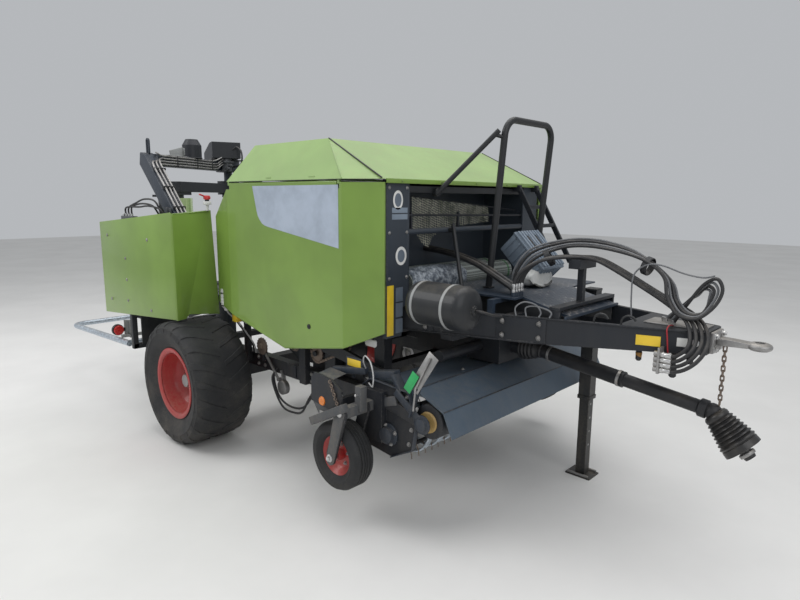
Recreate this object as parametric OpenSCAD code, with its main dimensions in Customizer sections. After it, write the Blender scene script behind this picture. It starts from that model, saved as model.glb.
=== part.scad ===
// Towed round baler with a built-on bale wrapper, at full size in millimetres.
// +X points to the hitch, +Y to the machine's left and +Z up. Inside the modules X is counted from
// the axle; placed() then moves the whole machine so that the origin lies on the floor under its middle.

/* [Wheels] */
// Radius of a main tyre
tyre_r = 540; // [500:5:560]
// Width of a main tyre
tyre_w = 520; // [420:10:540]
// Distance between the middle planes of the main tyres
track = 2420; // [2400:10:2500]
// Radius of the rim's flange
rim_r = 305; // [280:5:330]
// Radius of the stub axle inside the hub
stub_r = 45; // [35:1:60]
// Width and height of the square axle beam
axle_beam = 120; // [90:5:140]

/* [Body] */
// Half width of the body over its side doors
door_y = 1100; // [1080:5:1130]
// Half width of the body at its front face
front_y = 947; // [900:5:960]
// Front face of the body
body_front = 2090; // [2080:5:2110]
// Place of the crease where the door turns towards the front face
crease_x = 1850; // [1800:10:1880]
// Place of the crease where the door turns towards its rear end
door_rear_crease = 450; // [420:10:480]
// Rear end of the side door
door_rear = 115; // [115:5:200]
// Thickness of a side door
door_t = 25; // [15:1:30]
// Height of the roof's lower edge
roof_base = 2242; // [2242:1:2260]
// Height of the flat top of the roof
roof_top = 2530; // [2480:10:2560]
// Half width of the flat top of the roof
roof_flat_y = 900; // [800:10:950]
// Rear end of the roof's flat top
roof_flat_rear = 570; // [520:10:640]
// Front end of the roof's flat top
roof_flat_front = 1490; // [1400:10:1560]
// Thickness of the roof shell
roof_t = 18; // [8:1:24]
// Angle to which a side door swings up
door_open = 85; // [60:1:90]

/* [Bale chamber] */
// Inner radius of the bale chamber
chamber_r = 640; // [600:5:645]
// Place of the chamber's middle
chamber_x = 980; // [970:1:990]
// Height of the chamber's middle
chamber_z = 1380; // [1360:5:1400]
// Half width inside the chamber's side plates
chamber_y = 640; // [600:5:645]
// Thickness of the chamber's walls
wall_t = 20; // [10:1:20]
// Place of the split between the fixed half and the tailgate
split_x = 950; // [940:1:955]
// Half the gap between the fixed half and the tailgate
split_gap = 5; // [4:0.5:8]
// Radius of the tailgate's hinge pins
gate_pin_r = 20; // [15:1:28]

/* [Chassis and drawbar] */
// Distance of a chassis beam's middle from the centre plane
beam_y = 720; // [715:1:730]
// Width of a chassis beam
beam_w = 80; // [60:2:80]
// Height of a chassis beam's underside
beam_z = 620; // [610:5:640]
// Depth of a chassis beam
beam_h = 120; // [90:5:125]
// Rear end of the chassis beams
beam_rear = 1950; // [1900:10:2000]
// Height of the drawbar's upper edge
bar_top = 1400; // [1380:5:1400]
// Depth of the drawbar's side plates at their rear end
bar_h = 170; // [140:5:200]
// Thickness of the drawbar's side plates
bar_t = 16; // [10:1:24]
// Place of the drawbar's front end
bar_front = 3800; // [3700:10:3850]
// Place of the hitch eye's middle
eye_x = 4030; // [4000:5:4060]
// Radius of the hitch eye's hole
eye_r = 25; // [20:0.5:30]
// Outer radius of the hitch eye
eye_outer_r = 62; // [50:1:75]
// Height of the hitch eye's bush
eye_h = 45; // [30:1:60]

/* [Jack] */
// Place of the jack along the machine
jack_x = 2810; // [2805:5:2850]
// Distance of the jack from the centre plane
jack_y = 530; // [525:5:600]
// Width of the jack's outer tube
jack_w = 92; // [80:2:100]
// Wall of the jack's outer tube
jack_wall = 8; // [5:0.5:10]
// Travel of the jack's leg
jack_travel = 500; // [300:10:520]

/* [Pick-up] */
// Half width inside the pick-up's side plates
pickup_y = 1020; // [1000:5:1030]
// Place of the pick-up's lifting pivot
pivot_x = 1300; // [1280:5:1320]
// Height of the pick-up's lifting pivot
pivot_z = 1000; // [990:5:1010]
// Place of the tined reel's middle
reel_x = 2230; // [2220:5:2240]
// Height of the tined reel's middle in transport
reel_z = 620; // [600:5:640]
// Radius over the reel's tine tips
tine_r = 205; // [190:5:210]
// Radius of the press roller
press_r = 110; // [90:5:112]
// Place of the press roller's middle
press_x = 2525; // [2520:5:2535]
// Height of the press roller's middle
press_z = 770; // [765:5:775]
// Radius of a guide wheel's tyre
guide_r = 230; // [210:2:232]
// Width of a guide wheel's tyre
guide_w = 165; // [140:5:170]
// Place of a guide wheel's middle
guide_x = 1980; // [1960:5:2000]
// Distance of a guide wheel's middle from the centre plane
guide_y = 1225; // [1220:5:1240]
// Height of a guide wheel's middle in transport
guide_z = 470; // [450:5:490]

/* [Wrapper] */
// Place of the wrap rotor's upright axis and of the wrapping table's middle
wrap_x = -1400; // [-1450:10:-1380]
// Height of the wrap arms' middle
arm_z = 2220; // [2200:5:2240]
// Distance of a film roll from the rotor's axis
film_x = 960; // [930:5:980]
// Radius of a film roll
film_r = 125; // [90:5:130]
// Length of a film roll
film_h = 750; // [500:10:760]
// Angle of the parked wrap arms from the machine's cross direction
park_a = 30; // [0:1:40]
// Distance between the wrapping table's rollers
table_gap = 700; // [640:10:740]
// Radius of a table roller
table_roller_r = 110; // [80:5:120]
// Height of the table rollers' middles
table_z = 1000; // [980:5:1020]
// Half length of a table roller
table_y = 600; // [560:5:610]
// Distance of the guards' side panels from the centre plane
guard_y = 1400; // [1390:5:1420]
// Thickness of a guard panel
guard_t = 12; // [6:1:20]

/* [Front platform] */
// Height of the platform's upper face
deck_z = 1500; // [1480:5:1520]
// Radius of the hoop rail's tube
hoop_r = 23; // [18:1:28]
// Height of the hoop rail's top
hoop_top = 2650; // [2600:10:2700]
// Radius of the air tank
tank_r = 140; // [120:5:145]
// Length of the air tank
tank_l = 480; // [420:10:490]
// Radius of a hydraulic hose
hose_r = 11; // [8:1:14]

/* [Hidden] */
$fn = 48;
green = [0.48, 0.62, 0.2];

// Running gap of a shaft in its bore, gap of a seated piece and gap between moving pieces
run_gap = 0.05;
seat_gap = 0.3;
move_gap = 5;

axle_z = tyre_r;
front_tip = eye_x + eye_outer_r;
guard_tube_r = 30;
guard_tube_rear = 2890;
guard_tube_front = 1200;
guard_tube_y = 1300;
guard_tube_z0 = 660;
guard_tube_fall = 0.04;
guard_tube_bend = 160;
lamp_x = 1420;
// Height of the rear guard's side tube at a distance behind the axle
function guard_tube_z(x) = guard_tube_z0 - (x - guard_tube_front) * guard_tube_fall;
mid_x = (front_tip - guard_tube_rear - guard_tube_r) / 2;

// Moves a piece from the axle's frame to the part's own frame
module placed(colour) translate([-mid_x, 0, 0]) color(colour) children();

// Draws a left-hand piece, or its mirror image on the right
module sided(side) mirror([0, side < 0 ? 1 : 0, 0]) children();

// Outline in X and Z, made thickness thick from y onwards
module plate_xz(y, thickness) translate([0, y + thickness, 0]) rotate([90, 0, 0])
    linear_extrude(thickness) children();

// Outline in Y and Z, made thickness thick from x onwards
module plate_yz(x, thickness) translate([x, 0, 0]) rotate([90, 0, 90]) linear_extrude(thickness) children();

// Outline in X and Y, made thickness thick from z onwards
module plate_xy(z, thickness) translate([0, 0, z]) linear_extrude(thickness) children();

// Box between two corners
module block(low, high) translate(low) cube(high - low);

// Round rod between two points
module rod(p, q, r) {
    v = q - p;
    translate(p) rotate([0, acos(v[2] / norm(v)), atan2(v[1], v[0])]) cylinder(h = norm(v), r = r);
}

// Square-edged bar between two points, w across and h deep
module bar(p, q, w, h) {
    v = q - p;
    translate(p) rotate([0, acos(v[2] / norm(v)), atan2(v[1], v[0])])
        translate([-h / 2, -w / 2, 0]) cube([h, w, norm(v)]);
}

// Turns a piece drawn about Z to lie about an axis along Y
module about_y(x, y, z) translate([x, y, z]) rotate([-90, 0, 0]) children();

// Cylinder along Y between two distances from the centre plane
module pin_y(x, z, y0, y1, r) about_y(x, y0, z) cylinder(h = y1 - y0, r = r);

// Chassis: two beams, cross members, front posts and roof posts
post_x = 1800;
post_w = 100;
member_h = 60;
roof_post_x = 980;
module frame() placed([0.12, 0.13, 0.14]) {
    for (side = [-1, 1]) sided(side) {
        block([-beam_rear, beam_y - beam_w / 2, beam_z], [post_x + post_w, beam_y + beam_w / 2, beam_z + beam_h]);
        block([post_x, beam_y - beam_w / 2, beam_z + beam_h - 1],
            [post_x + post_w, beam_y + beam_w / 2, bar_top]);
        block([roof_post_x, beam_y + beam_w / 2 - 1, beam_z + 10],
            [roof_post_x + 80, beam_y + beam_w / 2 + 60, beam_z + beam_h]);
        block([roof_post_x, beam_y + beam_w / 2 + 10, beam_z + beam_h - 1],
            [roof_post_x + 80, beam_y + beam_w / 2 + 60, roof_base - seat_gap]);
        block([-100, beam_y - beam_w / 2, axle_z + axle_beam / 2 + seat_gap], [100, beam_y + beam_w / 2, beam_z + 1]);
        pin_y(pivot_x, pivot_z, beam_y + beam_w / 2 - 1, beam_y + beam_w / 2 + 70, 25);
        block([pivot_x - 60, beam_y - beam_w / 2, beam_z + beam_h - 1],
            [pivot_x + 60, beam_y + beam_w / 2, pivot_z + 50]);
        pin_y(table_pivot_x, table_pivot_z, beam_y - beam_w / 2 - 60, beam_y - beam_w / 2 + 1, 25);
        block([table_pivot_x - 60, beam_y - beam_w / 2, beam_z + beam_h - 1],
            [table_pivot_x + 60, beam_y + beam_w / 2, table_pivot_z + 50]);
    }
    for (x = [-beam_rear, -850, 1150, post_x])
        block([x, -beam_y + beam_w / 2 - 1, beam_z], [x + 80, beam_y - beam_w / 2 + 1, beam_z + member_h]);
}

// Axle: square beam with a round stub at each end
hub_y = track / 2 - 60;
module axle() placed([0.1, 0.1, 0.11]) {
    half = track / 2 - tyre_w / 2 - 25;
    block([-axle_beam / 2, -half, axle_z - axle_beam / 2], [axle_beam / 2, half, axle_z + axle_beam / 2]);
    for (side = [-1, 1]) sided(side) {
        pin_y(0, axle_z, half - 1, hub_y + 110, stub_r);
        pin_y(0, axle_z, half - 1, half + 30, stub_r + 40);
    }
}

// Main wheels: plain tyre with rounded shoulders and a deep-dished rim
bead_w = 400;
lug_count = 20;
lug_depth = 26;
lug_w = 44;
lug_turn = 24;
module tyre(side) placed([0.09, 0.09, 0.09]) sided(side) about_y(0, track / 2, axle_z) {
    carcass = tyre_r - lug_depth;
    half = tyre_w / 2;
    rotate_extrude($fn = 96) polygon([[rim_r - 20, -bead_w / 2], [rim_r + 8, -bead_w / 2], [rim_r + 60, -half + 30],
        [tyre_r - 150, -half], [carcass - 50, -half + 12], [carcass - 14, -half + 60],
        [carcass, -half + 130], [carcass, half - 130], [carcass - 14, half - 60],
        [carcass - 50, half - 12], [tyre_r - 150, half], [rim_r + 60, half - 30],
        [rim_r + 8, bead_w / 2], [rim_r - 20, bead_w / 2]]);
    for (s = [-1, 1], i = [0 : lug_count - 1]) rotate([0, 0, (i + (s > 0 ? 0.5 : 0)) * 360 / lug_count])
        translate([0, 0, s * 14]) rotate([s * lug_turn, 0, 0]) {
            translate([carcass - 20, -lug_w / 2, s > 0 ? 0 : -half * 0.7]) cube([lug_depth + 14, lug_w, half * 0.7]);
            translate([carcass - 52, -lug_w / 2 + 2, s > 0 ? half * 0.6 : -half * 0.95])
                cube([lug_depth + 28, lug_w - 4, half * 0.35]);
        }
}
module rim(side) placed([0.78, 0.12, 0.12]) sided(side) about_y(0, track / 2, axle_z)
    rotate_extrude($fn = 96) polygon([[stub_r + run_gap, -100], [stub_r + 45, -100], [stub_r + 45, -20],
        [200, -20], [rim_r - 55, 60], [rim_r - 45, -bead_w / 2], [rim_r + 5, -bead_w / 2 - 12],
        [rim_r + 5, -bead_w / 2 - seat_gap], [rim_r - 20 - seat_gap, -bead_w / 2 - seat_gap],
        [rim_r - 20 - seat_gap, bead_w / 2 + seat_gap], [rim_r + 5, bead_w / 2 + seat_gap],
        [rim_r + 5, bead_w / 2 + 12], [rim_r - 45, bead_w / 2], [rim_r - 45, 85], [200, 0],
        [stub_r + 45, 0], [stub_r + 45, 60], [stub_r + run_gap, 60]]);

// Bale chamber: the fixed front half, with its side plates and curved front wall
chamber_outer = chamber_r + wall_t;
chamber_front_x = 1600;
gate_pin_x = split_x + 30;
gate_pin_z = chamber_z + chamber_outer + 80;
module chamber_front() placed([0.14, 0.15, 0.16]) {
    for (side = [-1, 1]) sided(side) {
        plate_xz(chamber_y, wall_t) polygon([[split_x + split_gap, beam_z + member_h + seat_gap],
            [1560, beam_z + member_h + seat_gap], [chamber_front_x, 1000], [chamber_front_x, gate_pin_z + 60],
            [split_x + split_gap, gate_pin_z + 60]]);
        pin_y(gate_pin_x, gate_pin_z, chamber_y + wall_t - 1, chamber_y + wall_t + 40, gate_pin_r);
        pin_y(chamber_x + 320, chamber_z, chamber_y + wall_t - 1, chamber_y + wall_t + 60, 150);
    }
    intersection() {
        difference() {
            pin_y(chamber_x, chamber_z, -chamber_y, chamber_y, chamber_outer);
            pin_y(chamber_x, chamber_z, -chamber_y - 1, chamber_y + 1, chamber_r);
        }
        block([split_x + split_gap, -chamber_y, 1050], [1700, chamber_y, 2100]);
    }
    block([split_x + split_gap, -chamber_y, gate_pin_z + 20], [chamber_front_x, chamber_y, gate_pin_z + 60]);
}

// Tailgate: the rear half of the bale chamber, hung on two pins
gate_lip_z = beam_z + beam_h + 20;
module tailgate() placed(green) {
    for (side = [-1, 1]) sided(side) {
        plate_xz(chamber_y, wall_t) intersection() {
            translate([chamber_x, chamber_z]) circle(chamber_outer, $fn = 96);
            translate([0, gate_lip_z]) square([split_x - split_gap, 2000]);
        }
        plate_xz(chamber_y, wall_t) polygon([[700, 1900], [split_x - split_gap, 1900],
            [split_x - split_gap, gate_pin_z - 25], [800, gate_pin_z - 25]]);
        plate_xz(chamber_y + wall_t, 25) polygon([[760, 1880], [split_x - 30, 1880],
            [split_x - 30, gate_pin_z - 40], [820, gate_pin_z - 40]]);
        difference() {
            plate_xz(chamber_y + wall_t + move_gap, 25 - move_gap) union() {
                polygon([[760, 1880], [split_x - 20, 1900], [gate_pin_x + 30, gate_pin_z - 35],
                    [gate_pin_x, gate_pin_z + 40], [860, gate_pin_z + 40]]);
                translate([gate_pin_x, gate_pin_z]) circle(40);
            }
            pin_y(gate_pin_x, gate_pin_z, chamber_y, chamber_y + 60, gate_pin_r + run_gap);
        }
    }
    intersection() {
        difference() {
            pin_y(chamber_x, chamber_z, -chamber_y, chamber_y, chamber_outer);
            pin_y(chamber_x, chamber_z, -chamber_y - 1, chamber_y + 1, chamber_r);
        }
        block([0, -chamber_y, gate_lip_z], [split_x - split_gap, chamber_y, 2100]);
    }
}

// Front frame: pillars and an open compartment for the net rolls
pillar_in = 700;
comp_back = chamber_x + chamber_outer + 12;
shelf_z = bar_top + 40;
tube_z = 1900;
module front_frame() placed([0.16, 0.17, 0.19]) {
    for (side = [-1, 1]) sided(side) {
        plate_yz(body_front - 60, 40) polygon([[beam_y + beam_w / 2 + 4, 1200], [front_y - 40, 1200],
            [front_y - 40, roof_base - seat_gap], [pillar_in, roof_base - seat_gap], [pillar_in, bar_top + seat_gap],
            [beam_y + beam_w / 2 + 4, bar_top + seat_gap]]);
        block([comp_back, pillar_in, shelf_z], [body_front - 59, pillar_in + 16, roof_base - 60]);
    }
    block([comp_back, -pillar_in - 1, bar_top + seat_gap], [body_front - 20, pillar_in + 1, shelf_z + 1]);
    block([comp_back, -pillar_in - 1, shelf_z], [comp_back + 16, pillar_in + 1, roof_base - 60]);
    block([body_front - 60, -pillar_in - 1, roof_base - 38], [body_front - 20, pillar_in + 1, roof_base - seat_gap]);
    rod([body_front - 42, -pillar_in - 1, tube_z], [body_front - 42, pillar_in + 1, tube_z], 20);
}

// Two spare net rolls lying in the compartment
net_roll_r = 88;
module net_rolls() placed([0.55, 0.58, 0.5]) for (i = [0, 1])
    pin_y(comp_back + 16 + net_roll_r + 10 + i * (2 * net_roll_r + 6), shelf_z + 1 + seat_gap + net_roll_r, -620, 620, net_roll_r);

// Roof: a faceted shell, open below
module roof_block(inset, drop) {
    x0 = door_rear_crease + inset;
    x1 = crease_x - inset;
    x2 = body_front - inset;
    y1 = door_y - inset;
    y2 = front_y - inset;
    top = roof_top - inset;
    f0 = roof_flat_rear + inset;
    f1 = roof_flat_front - inset / 2;
    fy = roof_flat_y - inset / 2;
    base = roof_base - drop;
    polyhedron(
        points = [[x0, -y1, base], [x1, -y1, base], [x2, -y2, base], [x2, y2, base], [x1, y1, base],
            [x0, y1, base], [f0, -fy, top], [f1, -fy, top], [f1, fy, top], [f0, fy, top]],
        faces = [[0, 1, 2, 3, 4, 5], [9, 8, 7, 6], [0, 6, 7, 1], [1, 7, 2], [2, 7, 8, 3], [3, 8, 4],
            [4, 8, 9, 5], [5, 9, 6, 0]]);
}
hinge_y = door_y - door_t / 2;
hinge_z = roof_base - 7 - door_t / 2;
hinge_x0 = door_rear_crease + 40;
hinge_x1 = crease_x - 50;
hinge_pin_r = 5;
module roof() placed(green) {
    difference() {
        roof_block(0, 0);
        roof_block(roof_t, 1);
        block([0, -780, roof_base - 10], [620, 780, roof_base + 170]);
    }
    for (x = [roof_post_x + 10, 1500]) difference() {
        block([x, -door_y + 10, roof_base], [x + 60, door_y - 10, roof_base + 24]);
        block([x - 1, -pillar_in, roof_base + 16], [x + 61, pillar_in, roof_base + 25]);
    }
    for (side = [-1, 1]) sided(side) {
        rod([hinge_x0 - 26, hinge_y, hinge_z], [hinge_x1 + 26, hinge_y, hinge_z], hinge_pin_r);
        for (x = [hinge_x0 - 24, hinge_x1 + 8])
            block([x, hinge_y - 10, hinge_z - 10], [x + 16, hinge_y + 10, roof_base + 1]);
    }
}

// Side doors: creased panels that swing up on a pin along their upper edge
door_low_z = 1010;
module door(side) placed(green) sided(side) {
    difference() {
        union() {
            intersection() {
                plate_xy(900, 1400) polygon([[door_rear, door_y - 80], [door_rear_crease, door_y],
                    [crease_x, door_y], [body_front, front_y], [body_front - 12, front_y - 20],
                    [crease_x - 8, door_y - door_t], [door_rear_crease + 4, door_y - door_t],
                    [door_rear + 5, door_y - 80 - door_t]]);
                plate_xz(800, 400) polygon([[door_rear, 1220], [door_rear_crease, 1170], [1190, door_low_z],
                    [crease_x, 1130], [body_front + 10, 1250], [body_front + 10, hinge_z],
                    [hinge_x1 + 30, hinge_z], [hinge_x1 + 30, hinge_z - 40], [hinge_x1, hinge_z - 40],
                    [hinge_x1, hinge_z], [hinge_x0, hinge_z], [hinge_x0, hinge_z - 40], [door_rear_crease - 10, hinge_z - 40],
                    [door_rear, 1960]]);
            }
            rod([hinge_x0, hinge_y, hinge_z], [hinge_x1, hinge_y, hinge_z], door_t / 2);
        }
        rod([hinge_x0 - 60, hinge_y, hinge_z], [hinge_x1 + 60, hinge_y, hinge_z], hinge_pin_r + run_gap);
    }
}

// Guards beside the wrapper: a side panel and a front panel that turns inwards
guard_rear_x = 1480;
guard_front_x = 80;
guard_in_x = -30;
guard_in_y = 1000;
guard_top = 2008;
// Crease of the folded front from its low outer end to its high inner end, as [y, z]
crease = [[1262, 1130], [1012, guard_top]];
// Inner facet of the front: [x, y, z] of its outer face's corners
facet = [[40, 1270, 1130], [12, 965, 1090], [guard_in_x, 985, guard_top], [guard_in_x + 2, 1020, guard_top]];
facet_t = 10;
// Square bars that carry a guard: one out of the frame and one up behind the panel
guard_bar = 50;
guard_bar_x = -925;
guard_bar_z = 675;
guard_bar_top = 1600;
module guard(side) placed(green) sided(side) {
    intersection() {
        plate_xy(900, 1300) polygon([[-guard_rear_x, guard_y], [guard_front_x - 20, guard_y], [guard_front_x, guard_y - 10],
            [guard_in_x, guard_in_y], [guard_in_x - guard_t, guard_in_y + 4], [guard_front_x - guard_t, guard_y - guard_t],
            [-guard_rear_x, guard_y - guard_t]]);
        plate_xz(900, 600) polygon([[-guard_rear_x, 965], [guard_front_x - 20, 1100], [guard_front_x, 1095],
            [guard_front_x, 1985], [guard_in_x, guard_top + 2], [-guard_rear_x, 1870]]);
        plate_yz(-1500, 1600) polygon([[1500, 900], [crease[0][0] + 40, 1050], crease[0], crease[1],
            [crease[1][0] - 12, 2050], [1500, 2050]]);
    }
    polyhedron([for (p = facet) p, for (p = facet) p - [facet_t, 0, 0]],
        [[0, 1, 2], [0, 2, 3], [4, 6, 5], [4, 7, 6], [0, 5, 1], [0, 4, 5], [1, 6, 2], [1, 5, 6],
        [2, 7, 3], [2, 6, 7], [3, 4, 0], [3, 7, 4]]);
    block([guard_bar_x, beam_y + beam_w / 2 + seat_gap, guard_bar_z],
        [guard_bar_x + guard_bar, guard_y - guard_t - 1, guard_bar_z + guard_bar]);
    block([guard_bar_x, guard_y - guard_t + 1 - guard_bar, guard_bar_z],
        [guard_bar_x + guard_bar, guard_y - guard_t + 1, guard_bar_top]);
}

// Drawbar: two side plates that run together, with a closed box at the front
bar_rear_y = beam_y + beam_w / 2;
bar_front_y = 118;
bar_rear_x = post_x + post_w;
// Distance of a side plate's outer face from the centre plane
function bar_y(x) = bar_rear_y - (x - bar_rear_x) * (bar_rear_y - bar_front_y) / (bar_front - bar_rear_x);
module bar_plan(inset) polygon([[post_x + post_w + seat_gap, -bar_rear_y + inset],
    [bar_front - inset, -bar_front_y + inset], [bar_front - inset, bar_front_y - inset],
    [post_x + post_w + seat_gap, bar_rear_y - inset]]);
module drawbar() placed([0.13, 0.14, 0.16]) {
    intersection() {
        union() {
            plate_xy(bar_top - bar_h, bar_h) difference() {
                bar_plan(0);
                translate([-1, 0]) bar_plan(bar_t);
            }
            for (x = [post_x + post_w + seat_gap, 2700])
                block([x, -bar_rear_y, bar_top - bar_h], [x + 60, bar_rear_y, bar_top]);
            block([3350, -bar_rear_y, bar_top - 12], [bar_front, bar_rear_y, bar_top]);
            block([3350, -bar_rear_y, bar_top - bar_h], [bar_front, bar_rear_y, bar_top - bar_h + 52]);
        }
        plate_xy(bar_top - bar_h, bar_h) bar_plan(0);
        plate_xz(-bar_rear_y, 2 * bar_rear_y) polygon([[post_x + post_w, bar_top - bar_h], [2900, bar_top - bar_h],
            [bar_front, bar_top - bar_h + 40], [bar_front, bar_top], [post_x + post_w, bar_top]]);
    }
}

// Hitch eye with its shank
eye_z = bar_top - 60;
module hitch_eye() placed([0.2, 0.2, 0.21]) difference() {
    union() {
        translate([eye_x, 0, eye_z - eye_h / 2]) cylinder(h = eye_h, r = eye_outer_r);
        block([bar_front + seat_gap, -38, eye_z - 20], [eye_x - 20, 38, eye_z + 20]);
        block([bar_front + seat_gap, -90, eye_z - 65], [bar_front + 25, 90, eye_z + 55]);
    }
    translate([eye_x, 0, eye_z - 100]) cylinder(h = 200, r = eye_r);
}

// Main gearbox under the drawbar, with its cross shaft towards the right side
gear_z = 1075;
module gearbox() placed([0.15, 0.16, 0.18]) {
    block([2200, -190, gear_z - 110], [2480, 190, gear_z + 110]);
    block([2260, -150, gear_z + 109], [2420, 150, bar_top - bar_h - 39]);
    block([2290, -bar_y(2340), bar_top - bar_h - 40], [2390, bar_y(2340), bar_top - bar_h - seat_gap]);
    rod([2470, 0, gear_z], [2560, 0, gear_z], 60);
    pin_y(2300, gear_z, -640, -180, 40);
}

// Drive shaft guard, from the gearbox down to the ribbed cone
pto_low = [3830, 0, 920];
pto_bore_r = 17.5;
pto_ball_r = 50;
module pto_shaft() placed([0.07, 0.07, 0.08]) {
    top = [2560 + seat_gap, 0, gear_z];
    rod(top, top + [150, 0, 0], 85);
    rod(top + [130, 0, 0], pto_low, 47);
    translate(pto_low) sphere(pto_ball_r);
}
module pto_cone() placed([0.06, 0.06, 0.07]) translate(pto_low) rotate([0, 135, 0]) difference() {
    union() {
        rotate_extrude() polygon([[0, 20], [62, 20], [70, 60], [92, 82], [80, 104], [102, 126], [88, 148],
            [106, 170], [90, 192], [104, 214], [92, 236], [0, 236]]);
        translate([0, 0, 235]) cylinder(h = 74, r = 34);
        translate([-30, -48, 262]) cube([60, 96, 24]);
    }
    sphere(pto_ball_r + seat_gap);
    translate([0, 0, 225]) cylinder(h = 90, r = pto_bore_r);
}

// Chain that holds the drive shaft up
chain_x = pto_low[0] + 32;
chain_wire = 4;
chain_links = 12;
chain_top = eye_z - 20 - seat_gap;
chain_low = pto_low[2] - chain_wire
    + sqrt(pow(pto_ball_r + chain_wire + seat_gap, 2) - pow(chain_x - pto_low[0], 2));
chain_pitch = (chain_top - chain_low - 4 * chain_wire - seat_gap) / chain_links;
chain_length = chain_pitch + 2 * chain_wire + seat_gap;
module chain_link() {
    r = chain_wire + 5;
    for (s = [-1, 1]) {
        translate([s * r, 0, -chain_length / 2 + r]) cylinder(h = chain_length - 2 * r, r = chain_wire);
        translate([0, 0, s * (chain_length / 2 - r)]) rotate([90, s < 0 ? 180 : 0, 0])
            rotate_extrude(angle = 180) translate([r, 0]) circle(chain_wire);
    }
}
module support_chain() placed([0.5, 0.5, 0.5]) for (i = [0 : chain_links - 1])
    translate([chain_x, 0, chain_top - chain_wire - chain_length / 2 - i * chain_pitch])
        rotate([0, 0, i * 90]) chain_link();

// Jack: outer tube on the drawbar's left plate, and its sliding leg
leg_gap = 0.4;
leg_w = jack_w - 2 * jack_wall - 2 * leg_gap;
jack_low = 620;
jack_high = 1460;
foot_l = 200;
foot_w = 160;
foot_t = 12;
module jack_tube() placed([0.08, 0.08, 0.09]) {
    difference() {
        block([jack_x - jack_w / 2, jack_y - jack_w / 2, jack_low], [jack_x + jack_w / 2, jack_y + jack_w / 2, jack_high]);
        block([jack_x - jack_w / 2 + jack_wall, jack_y - jack_w / 2 + jack_wall, jack_low - 1],
            [jack_x + jack_w / 2 - jack_wall, jack_y + jack_w / 2 - jack_wall, jack_high - 10]);
    }
    plate_xy(bar_top - bar_h + 10, 150) polygon([[jack_x - 60, jack_y - jack_w / 2 + 1],
        [jack_x - 60, bar_y(jack_x - 60) + seat_gap], [jack_x + 60, bar_y(jack_x + 60) + seat_gap],
        [jack_x + 60, jack_y - jack_w / 2 + 1]]);
}
module jack_leg() placed([0.07, 0.07, 0.08]) {
    block([jack_x - leg_w / 2, jack_y - leg_w / 2, foot_t - 2], [jack_x + leg_w / 2, jack_y + leg_w / 2, jack_low + 240]);
    block([jack_x - foot_l / 2, jack_y - foot_w / 2, 0], [jack_x + foot_l / 2, jack_y + foot_w / 2, foot_t]);
}

// Platform at the front, sloping plate towards the drawbar
deck_front = 2740;
leg_x = deck_front - 140;
ramp_x = deck_front + 320;
ramp_t = 15;
module deck() placed([0.16, 0.2, 0.25]) {
    block([body_front - 20 + seat_gap, -430, deck_z - 12], [deck_front, 700, deck_z]);
    block([body_front - 20 + seat_gap, -430, bar_top + 10], [body_front - 6, 700, deck_z]);
    for (side = [-1, 1]) sided(side)
        block([leg_x, bar_y(leg_x + 20) - 24, bar_top + seat_gap], [leg_x + 40, bar_y(leg_x + 20) + 8, deck_z - 11]);
    block([leg_x, -bar_y(leg_x + 20), deck_z - 40], [leg_x + 40, bar_y(leg_x + 20), deck_z - 11]);
    plate_xz(-330, 660) polygon([[deck_front - 1, deck_z - 12], [ramp_x, bar_top + 6],
        [ramp_x + ramp_t, bar_top + 6], [ramp_x + ramp_t, bar_top + 18], [deck_front - 1, deck_z]]);
    block([ramp_x, -bar_y(ramp_x), bar_top + seat_gap], [ramp_x + ramp_t, bar_y(ramp_x), bar_top + 17]);
    for (k = [0 : hoses - 1]) {
        at = hose_main[0] + k * hose_step[0];
        translate([at[0], at[1], deck_z - 1]) cylinder(h = at[2] - deck_z + 1, r = hose_r + 5);
    }
}

// Hoop rail round the platform's front, with its sloping rail to the roof
hoop_x = 2360;
hoop_y0 = -175;
hoop_y1 = 430;
hoop_bend = 110;
hoop_lean = 5;
hoop_foot = 30;
hoop_l = (hoop_top - deck_z) / cos(hoop_lean);
// Slanted rail from the body's front to the hoop, and the height at which a link ties the two
rail_low = [body_front + 4, -440, 2160];
rail_high = [hoop_x + 70, hoop_y0 - 35, 2575];
rail_tie = 0.93;
rail_foot_x = 2290;
module hoop_rail() placed([0.1, 0.1, 0.11]) {
    for (y = [hoop_y0, hoop_y1]) block([hoop_x - hoop_foot, y - hoop_foot, deck_z + seat_gap],
        [hoop_x + hoop_foot, y + hoop_foot, deck_z + 10]);
    translate([hoop_x, 0, deck_z]) rotate([0, hoop_lean, 0]) {
        for (y = [hoop_y0, hoop_y1])
            rod([0, y, hoop_r * tan(hoop_lean) + seat_gap], [0, y, hoop_l - hoop_bend], hoop_r);
        rod([0, hoop_y0 + hoop_bend, hoop_l], [0, hoop_y1 - hoop_bend, hoop_l], hoop_r);
        translate([0, hoop_y0 + hoop_bend, hoop_l - hoop_bend]) rotate([90, 0, -90])
            rotate_extrude(angle = 90) translate([hoop_bend, 0]) circle(hoop_r);
        translate([0, hoop_y1 - hoop_bend, hoop_l - hoop_bend]) rotate([90, 0, 90])
            rotate_extrude(angle = 90) translate([hoop_bend, 0]) circle(hoop_r);
    }
    rod(rail_low, rail_high, 17);
    rod(rail_low + rail_tie * (rail_high - rail_low), [hoop_x + (2530 - deck_z) * tan(hoop_lean), hoop_y0, 2530], 13);
    rod([body_front - 20 + seat_gap, rail_low[1], 2165], [body_front + 14, rail_low[1], 2165], 28);
    rod([rail_foot_x, -390, deck_z + 8], [body_front + 6, -262, tube_z + 40], 14);
    rod([rail_foot_x, -390, deck_z + seat_gap], [rail_foot_x, -390, deck_z + 20], 22);
    rod([body_front - 20 + seat_gap, -266, tube_z], [body_front + 16, -266, tube_z], 18);
}

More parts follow.
